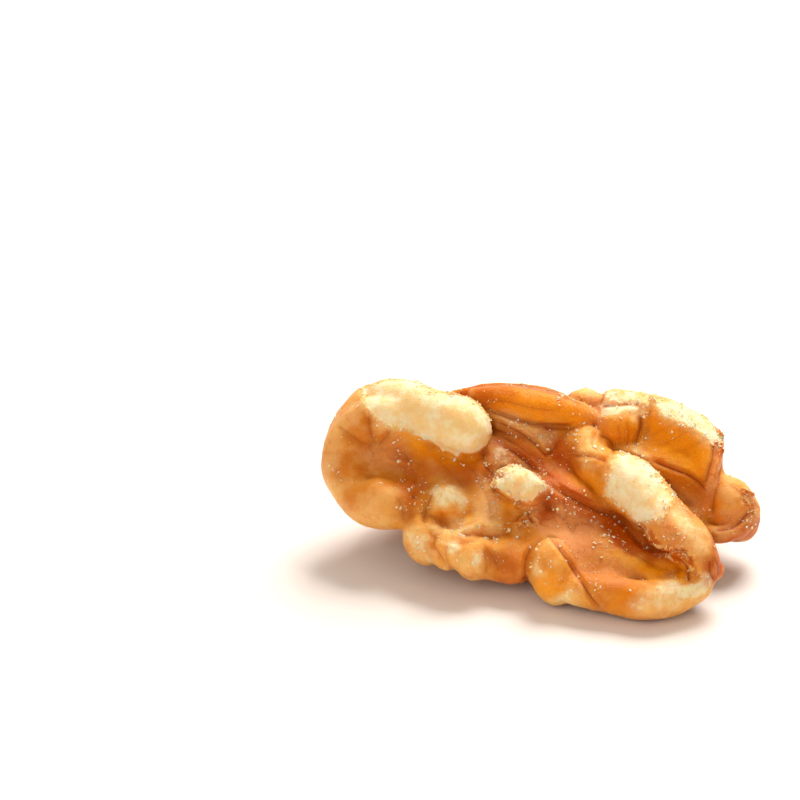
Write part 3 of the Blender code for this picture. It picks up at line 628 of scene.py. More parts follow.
def largest_part(points, faces):
    """The points and faces of the biggest connected surface: each point takes the lowest number
    among its neighbours until nothing changes."""
    label = np.arange(len(points))
    while True:
        lowest = label[faces].min(1)
        newer = label.copy()
        np.minimum.at(newer, faces, lowest[:, None])
        newer = newer[newer]
        if (newer == label).all():
            break
        label = newer
    kept = label == np.bincount(label).argmax()
    numbers = np.cumsum(kept) - 1
    return points[kept], numbers[faces[kept[faces[:, 0]]]]


def edge_pairs(faces):
    """Each edge of the faces once, as the two points that it joins."""
    sides = faces.shape[1]
    pairs = np.concatenate([faces[:, [i, (i + 1) % sides]] for i in range(sides)])
    return np.unique(np.sort(pairs, axis=1), axis=0)


def relax(values, pairs, rounds, share=0.5):
    """Moves each point's value part of the way to the mean of its neighbours, some rounds over."""
    values = np.asarray(values, float)
    columns = values.reshape(len(values), -1).copy()
    ends = np.concatenate([pairs[:, 0], pairs[:, 1]])
    others = np.concatenate([pairs[:, 1], pairs[:, 0]])
    degree = np.bincount(ends, minlength=len(columns))[:, None]
    for _ in range(rounds):
        sums = [np.bincount(ends, column[others], len(columns)) for column in columns.T]
        columns += share * (np.stack(sums, axis=1) / degree - columns)
    return columns.reshape(values.shape)


def normals_of(points, faces):
    """Each point's normal: the sum of the cross products of its faces' diagonals, made one long."""
    a, b, c, d = (points[faces[:, i]] for i in range(4))
    cross = np.cross(c - a, d - b)
    total = np.zeros_like(points)
    for i in range(4):
        for axis in range(3):
            total[:, axis] += np.bincount(faces[:, i], cross[:, axis], len(points))
    return total / np.maximum(np.linalg.norm(total, axis=1), 1e-12)[:, None]


def seen_layer(board, facing):
    """1 on points that the eye sees and 0 on those behind them: a point counts where it faces the
    eye and lies no further than the slack behind the nearest point in its cell of the picture."""
    cell, slack = 0.35, 1.2
    at = ((board[:, :2] - board[:, :2].min(0)) / cell).astype(int)
    nearest = np.full(at.max(0) + 1, -FAR)
    np.maximum.at(nearest, (at[:, 0], at[:, 1]), board[:, 2])
    hidden = nearest[at[:, 0], at[:, 1]] - board[:, 2] > slack
    return smoothstep(-0.25, 0.05, facing) * ~hidden


def path_distance(flat, path):
    """Distance from each flat point to a path, with a minus sign on its right side, and how far along
    it the nearest point lies, 0 to 1."""
    spans = path[1:] - path[:-1]
    lengths = np.linalg.norm(spans, axis=1)
    offset = flat[:, None, :] - path[None, :-1, :]
    along = np.clip((offset * spans).sum(-1) / np.maximum(lengths**2, TINY), 0, 1)
    gaps = np.linalg.norm(offset - along[..., None] * spans, axis=2)
    best = gaps.argmin(1)
    rows = np.arange(len(flat))
    passed = np.concatenate([[0], np.cumsum(lengths)])
    travelled = (passed[best] + along[rows, best] * lengths[best]) / lengths.sum()
    turn = spans[best, 0] * offset[rows, best, 1] - spans[best, 1] * offset[rows, best, 0]
    return np.copysign(gaps[rows, best], turn), travelled


def outline_depth(flat, outline):
    """Distance from each flat point to an outline, positive inside it: inside is where a line to the
    left crosses the outline an odd number of times."""
    distance, _ = path_distance(flat, np.vstack([outline, outline[:1]]))
    x, y = flat[:, :1], flat[:, 1:]
    ax, ay = outline.T
    bx, by = np.roll(outline, -1, axis=0).T
    rise = np.where(by == ay, TINY, by - ay)
    crossed = ((ay > y) != (by > y)) & (x < ax + (y - ay) / rise * (bx - ax))
    return np.where(crossed.sum(1) % 2 == 1, np.abs(distance), -np.abs(distance))


def close_to(flat, shape, reach):
    """Whether each flat point lies in the box round a shape, made larger by the reach."""
    return ((flat > shape.min(0) - reach) & (flat < shape.max(0) + reach)).all(1)


def region(flat, outlines, edge, ragged):
    """How much each point belongs to any of the outlines, from 0 to 1, over a soft edge in mm. In a
    narrow outline the edge is narrower too, so that its middle still reaches the full strength."""
    share = np.zeros(len(flat))
    for strength, points in outlines.values():
        outline = from_picture(points)
        near = close_to(flat, outline, 2 * edge + 1.5)
        depth = outline_depth(flat[near], outline)
        top = min(edge, 0.7 * depth.max())
        share[near] = np.maximum(share[near], strength * smoothstep(-edge, top, depth + ragged[near]))
    return share


def marks(flat, seen):
    """How far each point sinks for the dents and creases of the inner face, its distance from the
    nearest crease line, and that line's strength there.

    A dent is a bell curve, and a crease is a trench with low lips that fades at its ends. The distance
    keeps its sign across the line, so a material can draw the line finer than the points lie.
    """
    reach, unmarked, end, lip_place, lip_height = 1.5, 9.0, 0.15, 2.2, 0.25
    sink = np.zeros(len(flat))
    side = np.full(len(flat), unmarked)
    line = np.zeros(len(flat))
    for x, y, radius, depth in DENTS.values():
        gap = np.linalg.norm(flat - from_picture((x, y)), axis=1)
        sink += depth * np.exp(-((gap / radius) ** 2))
    for depth, width, strength, points in CREASES.values():
        path = smooth_path(from_picture(points), LINE_STEPS)
        near = close_to(flat, path, reach)
        gap, along = path_distance(flat[near], path)
        fade = smoothstep(0.0, end, along) * smoothstep(0.0, end, 1 - along)
        bowl = np.exp(-((gap / width) ** 2))
        lips = np.exp(-(((np.abs(gap) - lip_place * width) / width) ** 2))
        sink[near] += depth * fade * (bowl - lip_height * lips)
        closer = (np.abs(gap) < np.abs(side[near])) & (strength > 0)
        side[near] = np.where(closer, gap, side[near])
        line[near] = np.where(closer, strength * fade * smoothstep(0.6, 0.3, np.abs(gap)), line[near])
    return sink * seen, np.clip(side, -1, 1), line * smoothstep(0.3, 0.8, seen)


AIM_FLAT = from_picture(PICTURE_MIDDLE)[0]
AIM = ACROSS * AIM_FLAT[0] + RISE * AIM_FLAT[1] - TOWARD_EYE * AIM_BEHIND
EYE = AIM + TOWARD_EYE * EYE_DISTANCE


def pictured(points):
    """Where the eye sees points on the board, and their nearness: offsets from the eye across and up,
    spread in proportion to the distance."""
    offset = points - EYE
    nearness = offset @ TOWARD_EYE
    flat = np.stack([offset @ ACROSS, offset @ RISE], axis=1) * (-EYE_DISTANCE / nearness)[:, None]
    return flat + AIM_FLAT, nearness


def deepest(flat, seen, outlines):
    """How deep each point lies inside the nearest of some outlines, in mm, from outside to deep. A
    point that the eye doesn't see counts as outside."""
    outside, deep = -2.0, 0.8
    depth = np.full(len(flat), outside)
    for points in outlines.values():
        outline = from_picture(points)
        near = close_to(flat, outline, -outside)
        depth[near] = np.maximum(depth[near], outline_depth(flat[near], outline))
    return np.maximum(np.minimum(depth, deep) + outside * (1 - seen), outside)


def warped(points, amount, cell, seed):
    """Points pushed about by three smooth random values, so that a pattern on them wanders."""
    push = np.stack([noise(points, cell, seed + i) - 0.5 for i in range(3)], axis=1)
    return points + 2 * amount * push


@lru_cache(maxsize=1)
def kernel_skin(step, wrinkle):
    """The kernel's points, faces, normals and marks, in drawn millimetres.

    The surface net over the lobes is relaxed, and its points then sink or rise along their normals by
    the sum of the marks of the inner face, smooth random swells, vein grooves and the rubbed patches.
    """
    # The growth is cut at table level, so the kernel stands on small flats.
    growth = grow_kernel(step)
    growth.values = np.maximum(growth.values, -growth.axes[2].astype(np.float32))
    points, faces = largest_part(*skin_over(growth))
    pairs = edge_pairs(faces)
    points = relax(points, pairs, 3)
    normals = normals_of(points, faces)
    box = (points.min(0), points.max(0))
    # Hollows: how far the mean of the skin round a point lies out from it, close by and widely. The material
    # paints shade into the hollows and a highlight onto the swells from these.
    near_hollow = ((relax(points, pairs, 10) - points) * normals).sum(1)
    broad_hollow = ((relax(points, pairs, 90) - points) * normals).sum(1)
    flat, nearness = pictured(points)
    seen = seen_layer(np.column_stack([flat, nearness]), normals @ TOWARD_EYE)
    seen = relax(seen, pairs, 8)
    hidden = 1 - seen

    # Rubbed patches: the outlines on the inner face, and a few spots on the outer swells.
    coarse, fine = RAGGED_SEEDS
    ragged = 0.55 * (noise(points, 0.9, coarse) - 0.5) + 0.35 * (noise(points, 0.4, fine) - 0.5)
    bare = deepest(flat, seen, BARE) + ragged
    spots = 3 * (noise(points, 2.2, WORN_SEED) - 0.93)
    worn = spots - 9 * np.clip(broad_hollow + 0.15, 0, None) + ragged
    bare = np.maximum(bare, np.clip(worn, -2, 0.02) - 1.5 * seen)
    skin = smoothstep(0.10, -0.10, bare)
    rim = np.exp(-(((bare + 0.12) / 0.12) ** 2))

    # Marks of the inner face, and the web of veins on the outer one.
    sink, side, line = marks(flat, seen)
    soft = 0.9 * (noise(points, 0.9, SOFT_SEED) - 0.5)
    # Painted glow where light shines through thin walls, and saturated painted shade in hollows.
    painted_glow = region(flat, PAINTED_GLOW, 0.8, soft) * seen
    torn = region(flat, TORN, 0.4, soft) * seen
    bends = warped(points, 0.8, 3.0, BEND_SEED)
    weave = np.sin(np.pi * (bends[:, 1] + bends[:, 2]) / 3.4)
    groove = 2 * np.sin(np.pi * bends[:, 0] / 2.7) * weave
    vein = smoothstep(0.42, 0.58, noise(points, 2.4, VEIN_SEED)) * hidden

    # How far each point rises: swells, grain, the skin's rim, ragged tears and grooves.
    coarse, fine = SWELL_SEEDS
    swell = 0.20 * (noise(points, 2.2, coarse) - 0.5) + 0.12 * (noise(points, 1.1, fine) - 0.5)
    grain = 0.035 * (noise(points, 0.5, GRAIN_SEED) - 0.5)
    rags = 0.45 * wrinkle * torn * (noise(points, 0.5, TORN_SEED) - 0.45)
    lift = wrinkle * (swell * (0.8 + 0.7 * hidden) * (1 - 0.7 * painted_glow) + grain * (1.4 - 0.4 * skin))
    lift += 0.05 * rim - 0.06 * (1 - skin) - sink + rags
    lift -= 0.14 * np.exp(-((groove / 0.16) ** 2)) * vein * skin
    lift *= smoothstep(0.0, 0.35, points[:, 2])
    points = points + normals * lift[:, None]
    points[:, 2] = np.maximum(points[:, 2], 0)
    normals = normals_of(points, faces)
    marked = {
        "bare": bare,
        # Pale patches: thin skin, with painted light on the knuckle's crown, the flap and the inner wall.
        "pale": region(flat, PALE, 1.0, soft) * seen,
        "painted_glow": painted_glow,
        "membrane": region(flat, MEMBRANE, 0.7, soft) * seen,
        # Red-brown skin, with painted shade in the trough, the saddle and other hollows.
        "rust_and_shade": region(flat, RUST_AND_SHADE, 0.9, soft) * seen,
        "torn": torn,
        "side": side,
        "line": line,
        "groove": groove,
        "vein": vein,
        "hollow": near_hollow,
        "depth": broad_hollow,
        "hidden": hidden,
    }
    return points, faces, normals, marked, box


def into_box(points, box):
    """Drawn millimetres into the solid's box, in metres: each axis is stretched from box to box."""
    low, high = box
    return SOLID_LOW + (points - low) / (high - low) * (SOLID_HIGH - SOLID_LOW)


def on_skin(flat, seen, spots):
    """The number of the seen point that shows nearest to each spot, in mm of the picture."""
    shown = np.flatnonzero(seen > 0.5)
    gaps = np.linalg.norm(flat[shown][None, :, :] - spots[:, None, :], axis=2)
    return shown[gaps.argmin(1)]


# Heaps of crumbs on the inner face: (x and y in the photograph, radius in mm).
HEAPS = {
    "apron": (598, 587, 0.45), "knob left": (496, 485, 0.45), "knob top": (518, 464, 0.35),
    "knob right": (546, 484, 0.40), "tongue": (562, 397, 0.35), "flap tip": (543, 438, 0.50),
    "tear": (643, 524, 0.35), "tear low": (654, 543, 0.35), "tear middle": (668, 552, 0.45),
    "tear end": (684, 553, 0.35), "trough mouth": (694, 571, 0.40),
    "knuckle": (643, 412, 0.45), "left knob": (437, 489, 0.35), "saddle foot": (422, 508, 0.60),
    "toe fold": (497, 541, 0.40), "end": (748, 497, 0.45), "ridge head": (576, 434, 0.60),
    "plateau": (603, 541, 0.60), "bump foot": (574, 594, 0.35), "flap": (520, 432, 0.70),
    "streak": (543, 470, 0.60), "brow": (462, 530, 0.60),
}


# A crumb's ball: the twelve corners of three crossed golden rectangles, and its twenty faces.
GOLD = (1 + 5**0.5) / 2
BALL_CORNERS = [(-1, GOLD, 0), (1, GOLD, 0), (-1, -GOLD, 0), (1, -GOLD, 0),
                (0, -1, GOLD), (0, 1, GOLD), (0, -1, -GOLD), (0, 1, -GOLD),
                (GOLD, 0, -1), (GOLD, 0, 1), (-GOLD, 0, -1), (-GOLD, 0, 1)]
BALL_FACES = [(0, 11, 5), (0, 5, 1), (0, 1, 7), (0, 7, 10), (0, 10, 11), (1, 5, 9), (5, 11, 4),
              (11, 10, 2), (10, 7, 6), (7, 1, 8), (3, 9, 4), (3, 4, 2), (3, 2, 6), (3, 6, 8),
              (3, 8, 9), (4, 9, 5), (2, 4, 11), (6, 2, 10), (8, 6, 7), (9, 8, 1)]


def scattered_crumbs(points, normals, marked, count, size):
    """Small lumps of broken flesh: a twenty-sided ball for each, its corners pushed in and out at
    random, turned, stretched and half sunk into the skin. Edges of rubbed patches draw the most."""
    chance = np.random.default_rng(CRUMB_SEED)
    shown = 1 - marked["hidden"]
    edge = np.exp(-(((marked["bare"] + 0.05) / 0.35) ** 2))
    edge *= smoothstep(0.9, 0.0, marked["hidden"])
    draw = 0.25 + 1.5 * edge + marked["membrane"] + 0.6 * marked["rust_and_shade"] + 0.8 * marked["pale"]
    draw += 3 * marked["torn"]
    draw *= 0.15 + smoothstep(0.45, 0.75, noise(points, 2.2, PATCH_SEED)) + edge
    flat, _ = pictured(points)
    for x, y, radius in HEAPS.values():
        gap = np.linalg.norm(flat - from_picture((x, y)), axis=1)
        draw += 4 * np.exp(-((gap / radius) ** 2)) * shown
    draw *= smoothstep(-0.35, 0.35, normals[:, 2]) * smoothstep(0.3, 0.9, points[:, 2])
    at = chance.choice(len(points), count, replace=False, p=draw / draw.sum())
    ball = np.array(BALL_CORNERS) / np.linalg.norm(BALL_CORNERS[0])
    sides = np.array(BALL_FACES)
    radius = np.minimum(size / 2 * np.exp(chance.normal(-0.15, 0.5, count)), 0.85 * size)
    turns = np.linalg.qr(chance.normal(size=(count, 3, 3)))[0]
    turns *= np.sign(np.linalg.det(turns))[:, None, None]
    stretch = chance.uniform(0.4, 1.8, (count, 1, 3))
    push = chance.uniform(0.45, 1.3, (count, len(ball), 1))
    corners = ball[None] * push * stretch * radius[:, None, None]
    corners = np.einsum("nij,nkj->nki", turns, corners)
    centres = points[at] + normals[at] * (0.25 * radius)[:, None]
    tone = np.repeat(chance.random(count), len(ball))
    numbers = sides[None] + len(ball) * np.arange(count)[:, None, None]
    return (corners + centres[:, None]).reshape(-1, 3), numbers.reshape(-1, 3), tone


def curled_flake(path, normals, width, curl, thickness):
    """A flake of skin: a lens-shaped strip carried along a path on the surface. It stands on the
    surface, and leans over by the curl in degrees. Its width swells from nothing at both ends."""
    count, sides, sunk, smallest = len(path), 10, 0.12, 0.03
    along = np.gradient(path, axis=0)
    along /= np.linalg.norm(along, axis=1)[:, None]
    across = np.cross(along, normals)
    across /= np.linalg.norm(across, axis=1)[:, None]
    up = np.cross(across, along)
    t = np.linspace(0, 1, count)[:, None]
    trail = np.column_stack([np.arange(count) * 0.45, np.full((count, 2), curl)])
    ragged = 0.35 + 1.1 * noise(trail, 1.0, FLAKE_SEED)[:, None]
    swell = np.sin(np.pi * np.clip(t, smallest, 1 - smallest)) ** 0.6 * ragged
    around = np.linspace(0, 2 * np.pi, sides, endpoint=False)[None, :]
    reach = (0.5 - 0.5 * np.cos(around)) * width * swell
    lean = np.radians(curl) * reach / width
    side = thickness * np.sin(around) * (0.35 + 0.65 * swell)
    height = reach * np.cos(lean) - sunk * width
    offset = reach * np.sin(lean) + side
    ring = path[:, None] + up[:, None] * height[..., None] + across[:, None] * offset[..., None]
    grid = np.arange(count * sides).reshape(count, sides)
    nxt = np.roll(grid, -1, axis=1)
    quads = np.stack([grid[:-1], grid[1:], nxt[1:], nxt[:-1]], axis=-1).reshape(-1, 4)
    ends = path[[0, -1]] - 0.1 * normals[[0, -1]]
    points = np.vstack([ring.reshape(-1, 3), ends])
    first = np.full(sides, count * sides)
    caps = np.vstack([np.column_stack([grid[0], nxt[0], first]),
                      np.column_stack([nxt[-1], grid[-1], first + 1])])
    return points, quads, caps


# A flake's path is read off the skin in small steps. It ends where the next step would jump to
# another lobe, and every third point of it is kept.
SPOT_STEPS = 5
LONGEST_STRIDE = 0.8
FEWEST_SPOTS = 6
KEPT_EVERY = 3
FLAKE_THICKNESS = 0.05
# Loose flakes of skin on the inner face: (width mm, lean degrees, paleness, points in pixels).
FLAKES = {
    "crest rag a": (0.5, 25, 0.15, [(719, 431), (722, 438), (722, 447), (724, 455)]),
    "crest rag b": (0.6, -30, 0.15, [(716, 427), (720, 432), (725, 437)]),
    "end rag a": (0.4, 20, 0.15, [(742, 489), (749, 493), (754, 499)]),
    "end rag b": (0.3, -20, 0.15, [(748, 500), (753, 506), (757, 512)]),
    "crest flake": (0.3, 50, 0.6, [(650, 396), (655, 400), (658, 406)]),
}


def mesh_piece(name, points, faces, marked, material, smooth=True):
    """A piece from points, faces and a value per point for each mark. It rides with the kernel."""
    mesh = bpy.data.meshes.new(name)
    mesh.from_pydata(np.asarray(points).tolist(), [], [list(face) for face in faces])
    for label, values in marked.items():
        layer = mesh.attributes.new(label, "FLOAT", "POINT")
        layer.data.foreach_set("value", np.ascontiguousarray(values, np.float32))
    if smooth:
        mesh.shade_smooth()
    mesh.materials.append(material)
    piece = bpy.data.objects.new(name, mesh)
    bpy.context.scene.collection.objects.link(piece)
    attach(piece, "root")
    return piece


def new_material(name):
    """An empty material that uses nodes, and its node tree."""
    material = bpy.data.materials.new(name)
    material.use_nodes = True
    material.node_tree.nodes.clear()
    return material, material.node_tree


def add_node(tree, kind, inputs=(), **settings):
    """Adds a node, sets its settings, and gives inputs a value or a link from a socket."""
    made = tree.nodes.new(kind)
    for label, value in settings.items():
        setattr(made, label, value)
    for label, value in dict(inputs).items():
        if isinstance(value, bpy.types.NodeSocket):
            tree.links.new(value, made.inputs[label])
        else:
            made.inputs[label].default_value = value
    return made


def pellicle_material(colours):
    """Walnut pellicle over flesh: the thin, waxy seed skin with red-brown veins, a painted glow where light
    passes through it, painted shade in its hollows and creases, a painted highlight on its swells, and pale
    oily flesh where it has rubbed off."""
    material, tree = new_material("walnut pellicle over flesh")
    place = add_node(tree, "ShaderNodeTexCoord").outputs["Object"]

    def mark(label):
        return add_node(tree, "ShaderNodeAttribute", attribute_name=label).outputs["Fac"]

    def speckle(cell_mm):
        made = add_node(tree, "ShaderNodeTexNoise",
                        {"Vector": place, "Scale": 1 / (cell_mm * MM), "Detail": 2.0, "Roughness": 0.6})
        return made.outputs["Fac"]

    def combine(operation, first, second, third=0.0):
        made = add_node(tree, "ShaderNodeMath", {0: first, 1: second, 2: third}, operation=operation)
        return made.outputs[0]

    def rising(value, low, high, top=1.0):
        limits = {"Value": value, "From Min": low, "From Max": high, "To Max": top}
        made = add_node(tree, "ShaderNodeMapRange", limits, interpolation_type="SMOOTHSTEP")
        return made.outputs["Result"]

    def times(first, second):
        return combine("MULTIPLY", first, second)

    def swing(value, width):
        """The value less a half, times a width: a swing to both sides of nought."""
        return combine("MULTIPLY_ADD", value, width, -width / 2)

    def blended(share, under, over):
        made = add_node(tree, "ShaderNodeMix", {0: share, 6: under, 7: over}, data_type="RGBA")
        return made.outputs[2]

    broad, middle, small, tiny = speckle(5.0), speckle(1.6), speckle(0.45), speckle(0.13)
    depth, hollow, hidden = mark("depth"), mark("hollow"), mark("hidden")
    membrane, rust_and_shade, pale, torn = mark("membrane"), mark("rust_and_shade"), mark("pale"), mark("torn")
    bare = combine("ADD", mark("bare"), swing(small, 0.5))
    bare_share = rising(combine("ADD", bare, swing(tiny, 0.3)), -0.07, 0.07)
    bare_share = times(bare_share, combine("MULTIPLY_ADD", hidden, -0.3, 1.0))

    # Dark lines: creases, partly the skin's dark veins and partly painted shade, with a soft halo of painted
    # shade; grooves of the outer skin; and a fine wandering web.
    def ridge_line(value, half_width):
        return rising(combine("ABSOLUTE", value, 0.0), half_width, 0.3 * half_width)

    crease = times(mark("line"), ridge_line(mark("side"), 0.11))
    halo = times(mark("line"), ridge_line(mark("side"), 0.42))
    groove = times(mark("vein"), ridge_line(mark("groove"), 0.10))
    wander = add_node(tree, "ShaderNodeTexNoise", {"Vector": place, "Scale": 1 / (2.6 * MM),
                                                   "Detail": 1.5, "Distortion": 0.6}).outputs["Fac"]
    web_share = combine("MULTIPLY_ADD", membrane, 0.35, combine("MULTIPLY_ADD", hidden, 0.15, 0.1))
    web = times(ridge_line(combine("SUBTRACT", wander, 0.5), 0.012), web_share)

    # The skin's colours, each laid over those before it: (how much, colour). Among them is painted light: a
    # painted highlight on swells, a painted glow in thin walls, and painted shade in hollows and creases.
    thin = combine("ADD", pale, swing(small, 0.5))
    shreds = times(torn, 0.8)
    layers = [
        (rising(broad, 0.35, 0.65), colours.skin_light),
        (rising(middle, 0.45, 0.7, 0.3), colours.thin_skin_and_highlight),
        # Painted highlight: swells paler, the more they stand out.
        (rising(depth, 0.0, -0.5, 0.45), colours.thin_skin_and_highlight),
        (times(hidden, rising(broad, 0.1, 0.6, 0.9)), colours.outer_skin),
        (rising(bare, -0.8, 0.05, 0.75), colours.thin_skin_and_highlight),
        # Painted glow in thin walls, and saturated painted shade in hollows.
        (times(mark("painted_glow"), 0.9), colours.painted_glow),
        # Thin skin, and painted light on the knuckle's crown, the flap and the inner wall.
        (times(rising(thin, 0.05, 0.85, 0.92), pale), colours.thin_skin_and_highlight),
        (times(membrane, 0.8), colours.membrane),
        # Red-brown skin, and painted shade in the trough, the saddle and other hollows.
        (times(rust_and_shade, rising(middle, 0.05, 0.5)), colours.rust_and_shade),
        # Painted shade in the broad hollows.
        (rising(depth, 0.12, 0.6, 0.8), colours.rust_and_shade),
        # Palest flesh on the palest patches, and a painted highlight on the knuckle's crown.
        (rising(thin, 0.75, 1.1, 0.75), colours.flesh_light_and_highlight),
        (times(shreds, rising(small, 0.55, 0.40)), colours.rust_and_shade),
        (times(shreds, rising(small, 0.52, 0.60)), colours.flesh),
        # Painted shade in the small hollows.
        (rising(hollow, 0.01, 0.12, 0.6), colours.rust_and_shade),
        (rising(small, 0.5, 0.3, 0.12), colours.rust_and_shade),
        (rising(tiny, 0.66, 0.76, 0.35), colours.thin_skin_and_highlight),
        # Painted shade in a soft halo beside the creases.
        (times(halo, 0.4), colours.rust_and_shade),
        (web, colours.rust_and_shade),
        # Dark lines: the skin's veins, and painted shade in the creases.
        (times(combine("MAXIMUM", crease, groove), 0.62), colours.vein),
    ]
    skin = from_hex(colours.skin_dark)
    for share, hex_colour in layers:
        skin = blended(share, skin, from_hex(hex_colour))
    cloud = combine("ADD", times(middle, 0.7), times(small, 0.3))
    flesh = blended(rising(cloud, 0.36, 0.66), from_hex(colours.flesh), from_hex(colours.flesh_light_and_highlight))
    dust = rising(combine("ADD", tiny, swing(small, 0.6)), 0.74, 0.80, 0.6)
    colour = blended(dust, blended(bare_share, skin, flesh), from_hex(colours.flesh_light_and_highlight))

    roughness = combine("MULTIPLY_ADD", bare_share, 0.12, combine("MULTIPLY_ADD", small, 0.3, 0.2))
    pores = combine("ADD", times(small, 0.4), times(tiny, 0.6))
    bump = add_node(tree, "ShaderNodeBump", {"Height": pores, "Strength": 0.9, "Distance": 0.15 * MM})
    shader = add_node(tree, "ShaderNodeBsdfPrincipled", {
        "Base Color": colour, "Roughness": roughness, "Normal": bump.outputs["Normal"],
        "IOR": 1.47, "Specular IOR Level": 0.3, "Specular Tint": (1.0, 0.78, 0.42, 1.0),
        "Subsurface Weight": 0.6, "Subsurface Radius": (1.0, 0.42, 0.11), "Subsurface Scale": 2.1 * MM})
    add_node(tree, "ShaderNodeOutputMaterial", {"Surface": shader.outputs[0]})
    return material


def crumb_material(colours):
    """Crumbs of broken walnut flesh: pale, oily and slightly see-through at their thin edges."""
    material, tree = new_material("broken walnut flesh")
    tone = add_node(tree, "ShaderNodeAttribute", attribute_name="tone").outputs["Fac"]
    mixed = add_node(tree, "ShaderNodeMix", {0: tone, 6: from_hex(colours.flesh), 7: from_hex(colours.crumb)},
                     data_type="RGBA")
    shader = add_node(tree, "ShaderNodeBsdfPrincipled", {
        "Base Color": mixed.outputs[2], "Roughness": 0.42, "IOR": 1.47, "Subsurface Weight": 0.9,
        "Subsurface Radius": (1.0, 0.75, 0.5), "Subsurface Scale": 0.25 * MM})
    add_node(tree, "ShaderNodeOutputMaterial", {"Surface": shader.outputs[0]})
    return material


def flake_material(colours):
    """Torn walnut pellicle: a dry, papery skin, red-brown or, where flesh still clings to it, pale."""
    material, tree = new_material("torn walnut pellicle")
    place = add_node(tree, "ShaderNodeTexCoord").outputs["Object"]
    grain = add_node(tree, "ShaderNodeTexNoise", {"Vector": place, "Scale": 1 / (0.4 * MM), "Detail": 3.0})
    tone = add_node(tree, "ShaderNodeAttribute", attribute_name="tone").outputs["Fac"]
    dark = add_node(tree, "ShaderNodeMix",
                    {0: grain.outputs["Fac"], 6: from_hex(colours.vein), 7: from_hex(colours.skin_light)},
                    data_type="RGBA")
    mixed = add_node(tree, "ShaderNodeMix", {0: tone, 6: dark.outputs[2], 7: from_hex(colours.flesh_light_and_highlight)},
                     data_type="RGBA")
    bump = add_node(tree, "ShaderNodeBump",
                    {"Height": grain.outputs["Fac"], "Strength": 0.5, "Distance": 0.03 * MM})
    shader = add_node(tree, "ShaderNodeBsdfPrincipled", {
        "Base Color": mixed.outputs[2], "Roughness": 0.5, "Normal": bump.outputs["Normal"], "IOR": 1.47,
        "Subsurface Weight": 0.3, "Subsurface Radius": (1.0, 0.4, 0.15), "Subsurface Scale": 0.5 * MM})
    add_node(tree, "ShaderNodeOutputMaterial", {"Surface": shader.outputs[0]})
    return material


def floor_material(hex_colour):
    """Matt white card: plain, with no gloss to mirror the lights."""
    material, tree = new_material("matt white card")
    shader = add_node(tree, "ShaderNodeBsdfPrincipled",
                      {"Base Color": from_hex(hex_colour), "Roughness": 0.9, "Specular IOR Level": 0.2})
    add_node(tree, "ShaderNodeOutputMaterial", {"Surface": shader.outputs[0]})
    return material


def hex_setting(name, said, default):
    """A setting for a colour, written as an sRGB hex value."""
    return bpy.props.StringProperty(name=name, description=f"{said}, sRGB hex", default=default)


class WalnutShape(bpy.types.PropertyGroup):
    grid: bpy.props.FloatProperty(
        name="Grid", description="Spacing of the skin's points, in millimetres", default=0.176, min=0.12)
    wrinkle: bpy.props.FloatProperty(
        name="Wrinkling", description="Strength of the small random swells", default=1.0, subtype="FACTOR")
    crumbs: bpy.props.IntProperty(
        name="Crumbs", description="How many crumbs of flesh lie on the kernel", default=1800)
    crumb_size: bpy.props.FloatProperty(
        name="Crumb size", description="Usual width of a crumb, in millimetres", default=0.14)


class WalnutColours(bpy.types.PropertyGroup):
    skin_light: hex_setting("Skin, light", "Thick skin where it is palest", "#EDA43C")
    skin_dark: hex_setting("Skin, dark", "Thick skin where it is darkest", "#D67C18")
    # Thin skin; also the painted highlight on swells and on the knuckle's crown.
    thin_skin_and_highlight: hex_setting("Thin skin", "Skin so thin that the flesh shows through", "#F9D088")
    outer_skin: hex_setting("Outer skin", "Skin of the round outer side", "#96591F")
    # Painted glow in thin walls, and saturated painted shade in hollows.
    painted_glow: hex_setting("Amber", "Thin walls that glow in the light", "#FAA000")
    membrane: hex_setting("Membrane", "Pinkish skin left by the inner membrane", "#E69C60")
    # Red-brown skin and torn edges, and painted shade in hollows and beside creases.
    rust_and_shade: hex_setting("Rust", "Hollows and edges of the skin", "#BC5000")
    # Also the dark lines of the creases, partly painted shade.
    vein: hex_setting("Veins", "Creases, veins and torn skin", "#9E3E08")
    flesh: hex_setting("Flesh", "Rubbed flesh in its hollows", "#F8D692")
    # Palest flesh and dust; also the painted highlight on the knuckle's crown.
    flesh_light_and_highlight: hex_setting("Flesh, light", "Rubbed flesh on its swells, and dust", "#FFF3CE")
    crumb: hex_setting("Crumbs", "The palest crumbs", "#FFF2D8")


class WalnutStudio(bpy.types.PropertyGroup):
    floor_colour: hex_setting("Floor", "The card that the kernel lies on", "#F7F3F0")
    sky_colour: hex_setting("Sky colour", "The even surround", "#FFEEDF")
    sky: bpy.props.FloatProperty(name="Sky", description="Strength of the even white surround", default=0.52)
    key: bpy.props.FloatProperty(
        name="Key light", description="Power of the soft light high behind at the right", default=1.10,
        unit="POWER")
    fill: bpy.props.FloatProperty(
        name="Fill light", description="Power of the soft light in front at the left", default=0.14,
        unit="POWER")


def settings():
    """The scene's settings for the shape, the colours and the studio."""
    scene = bpy.context.scene
    return scene.walnut_shape, scene.walnut_colours, scene.walnut_studio


class WALNUT_OT_kernel(bpy.types.Operator):
    """Grow the kernel's fine skin in place of the solid"""
    bl_idname = "walnut.kernel"
    bl_label = "Grow kernel"

    def execute(self, context):
        shape, colours, _ = settings()
        points, faces, _, marked, box = kernel_skin(shape.grid, shape.wrinkle)
        piece = mesh_piece("kernel_skin", into_box(points, box), faces, marked, pellicle_material(colours))
        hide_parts("kernel")
        return {"FINISHED"}


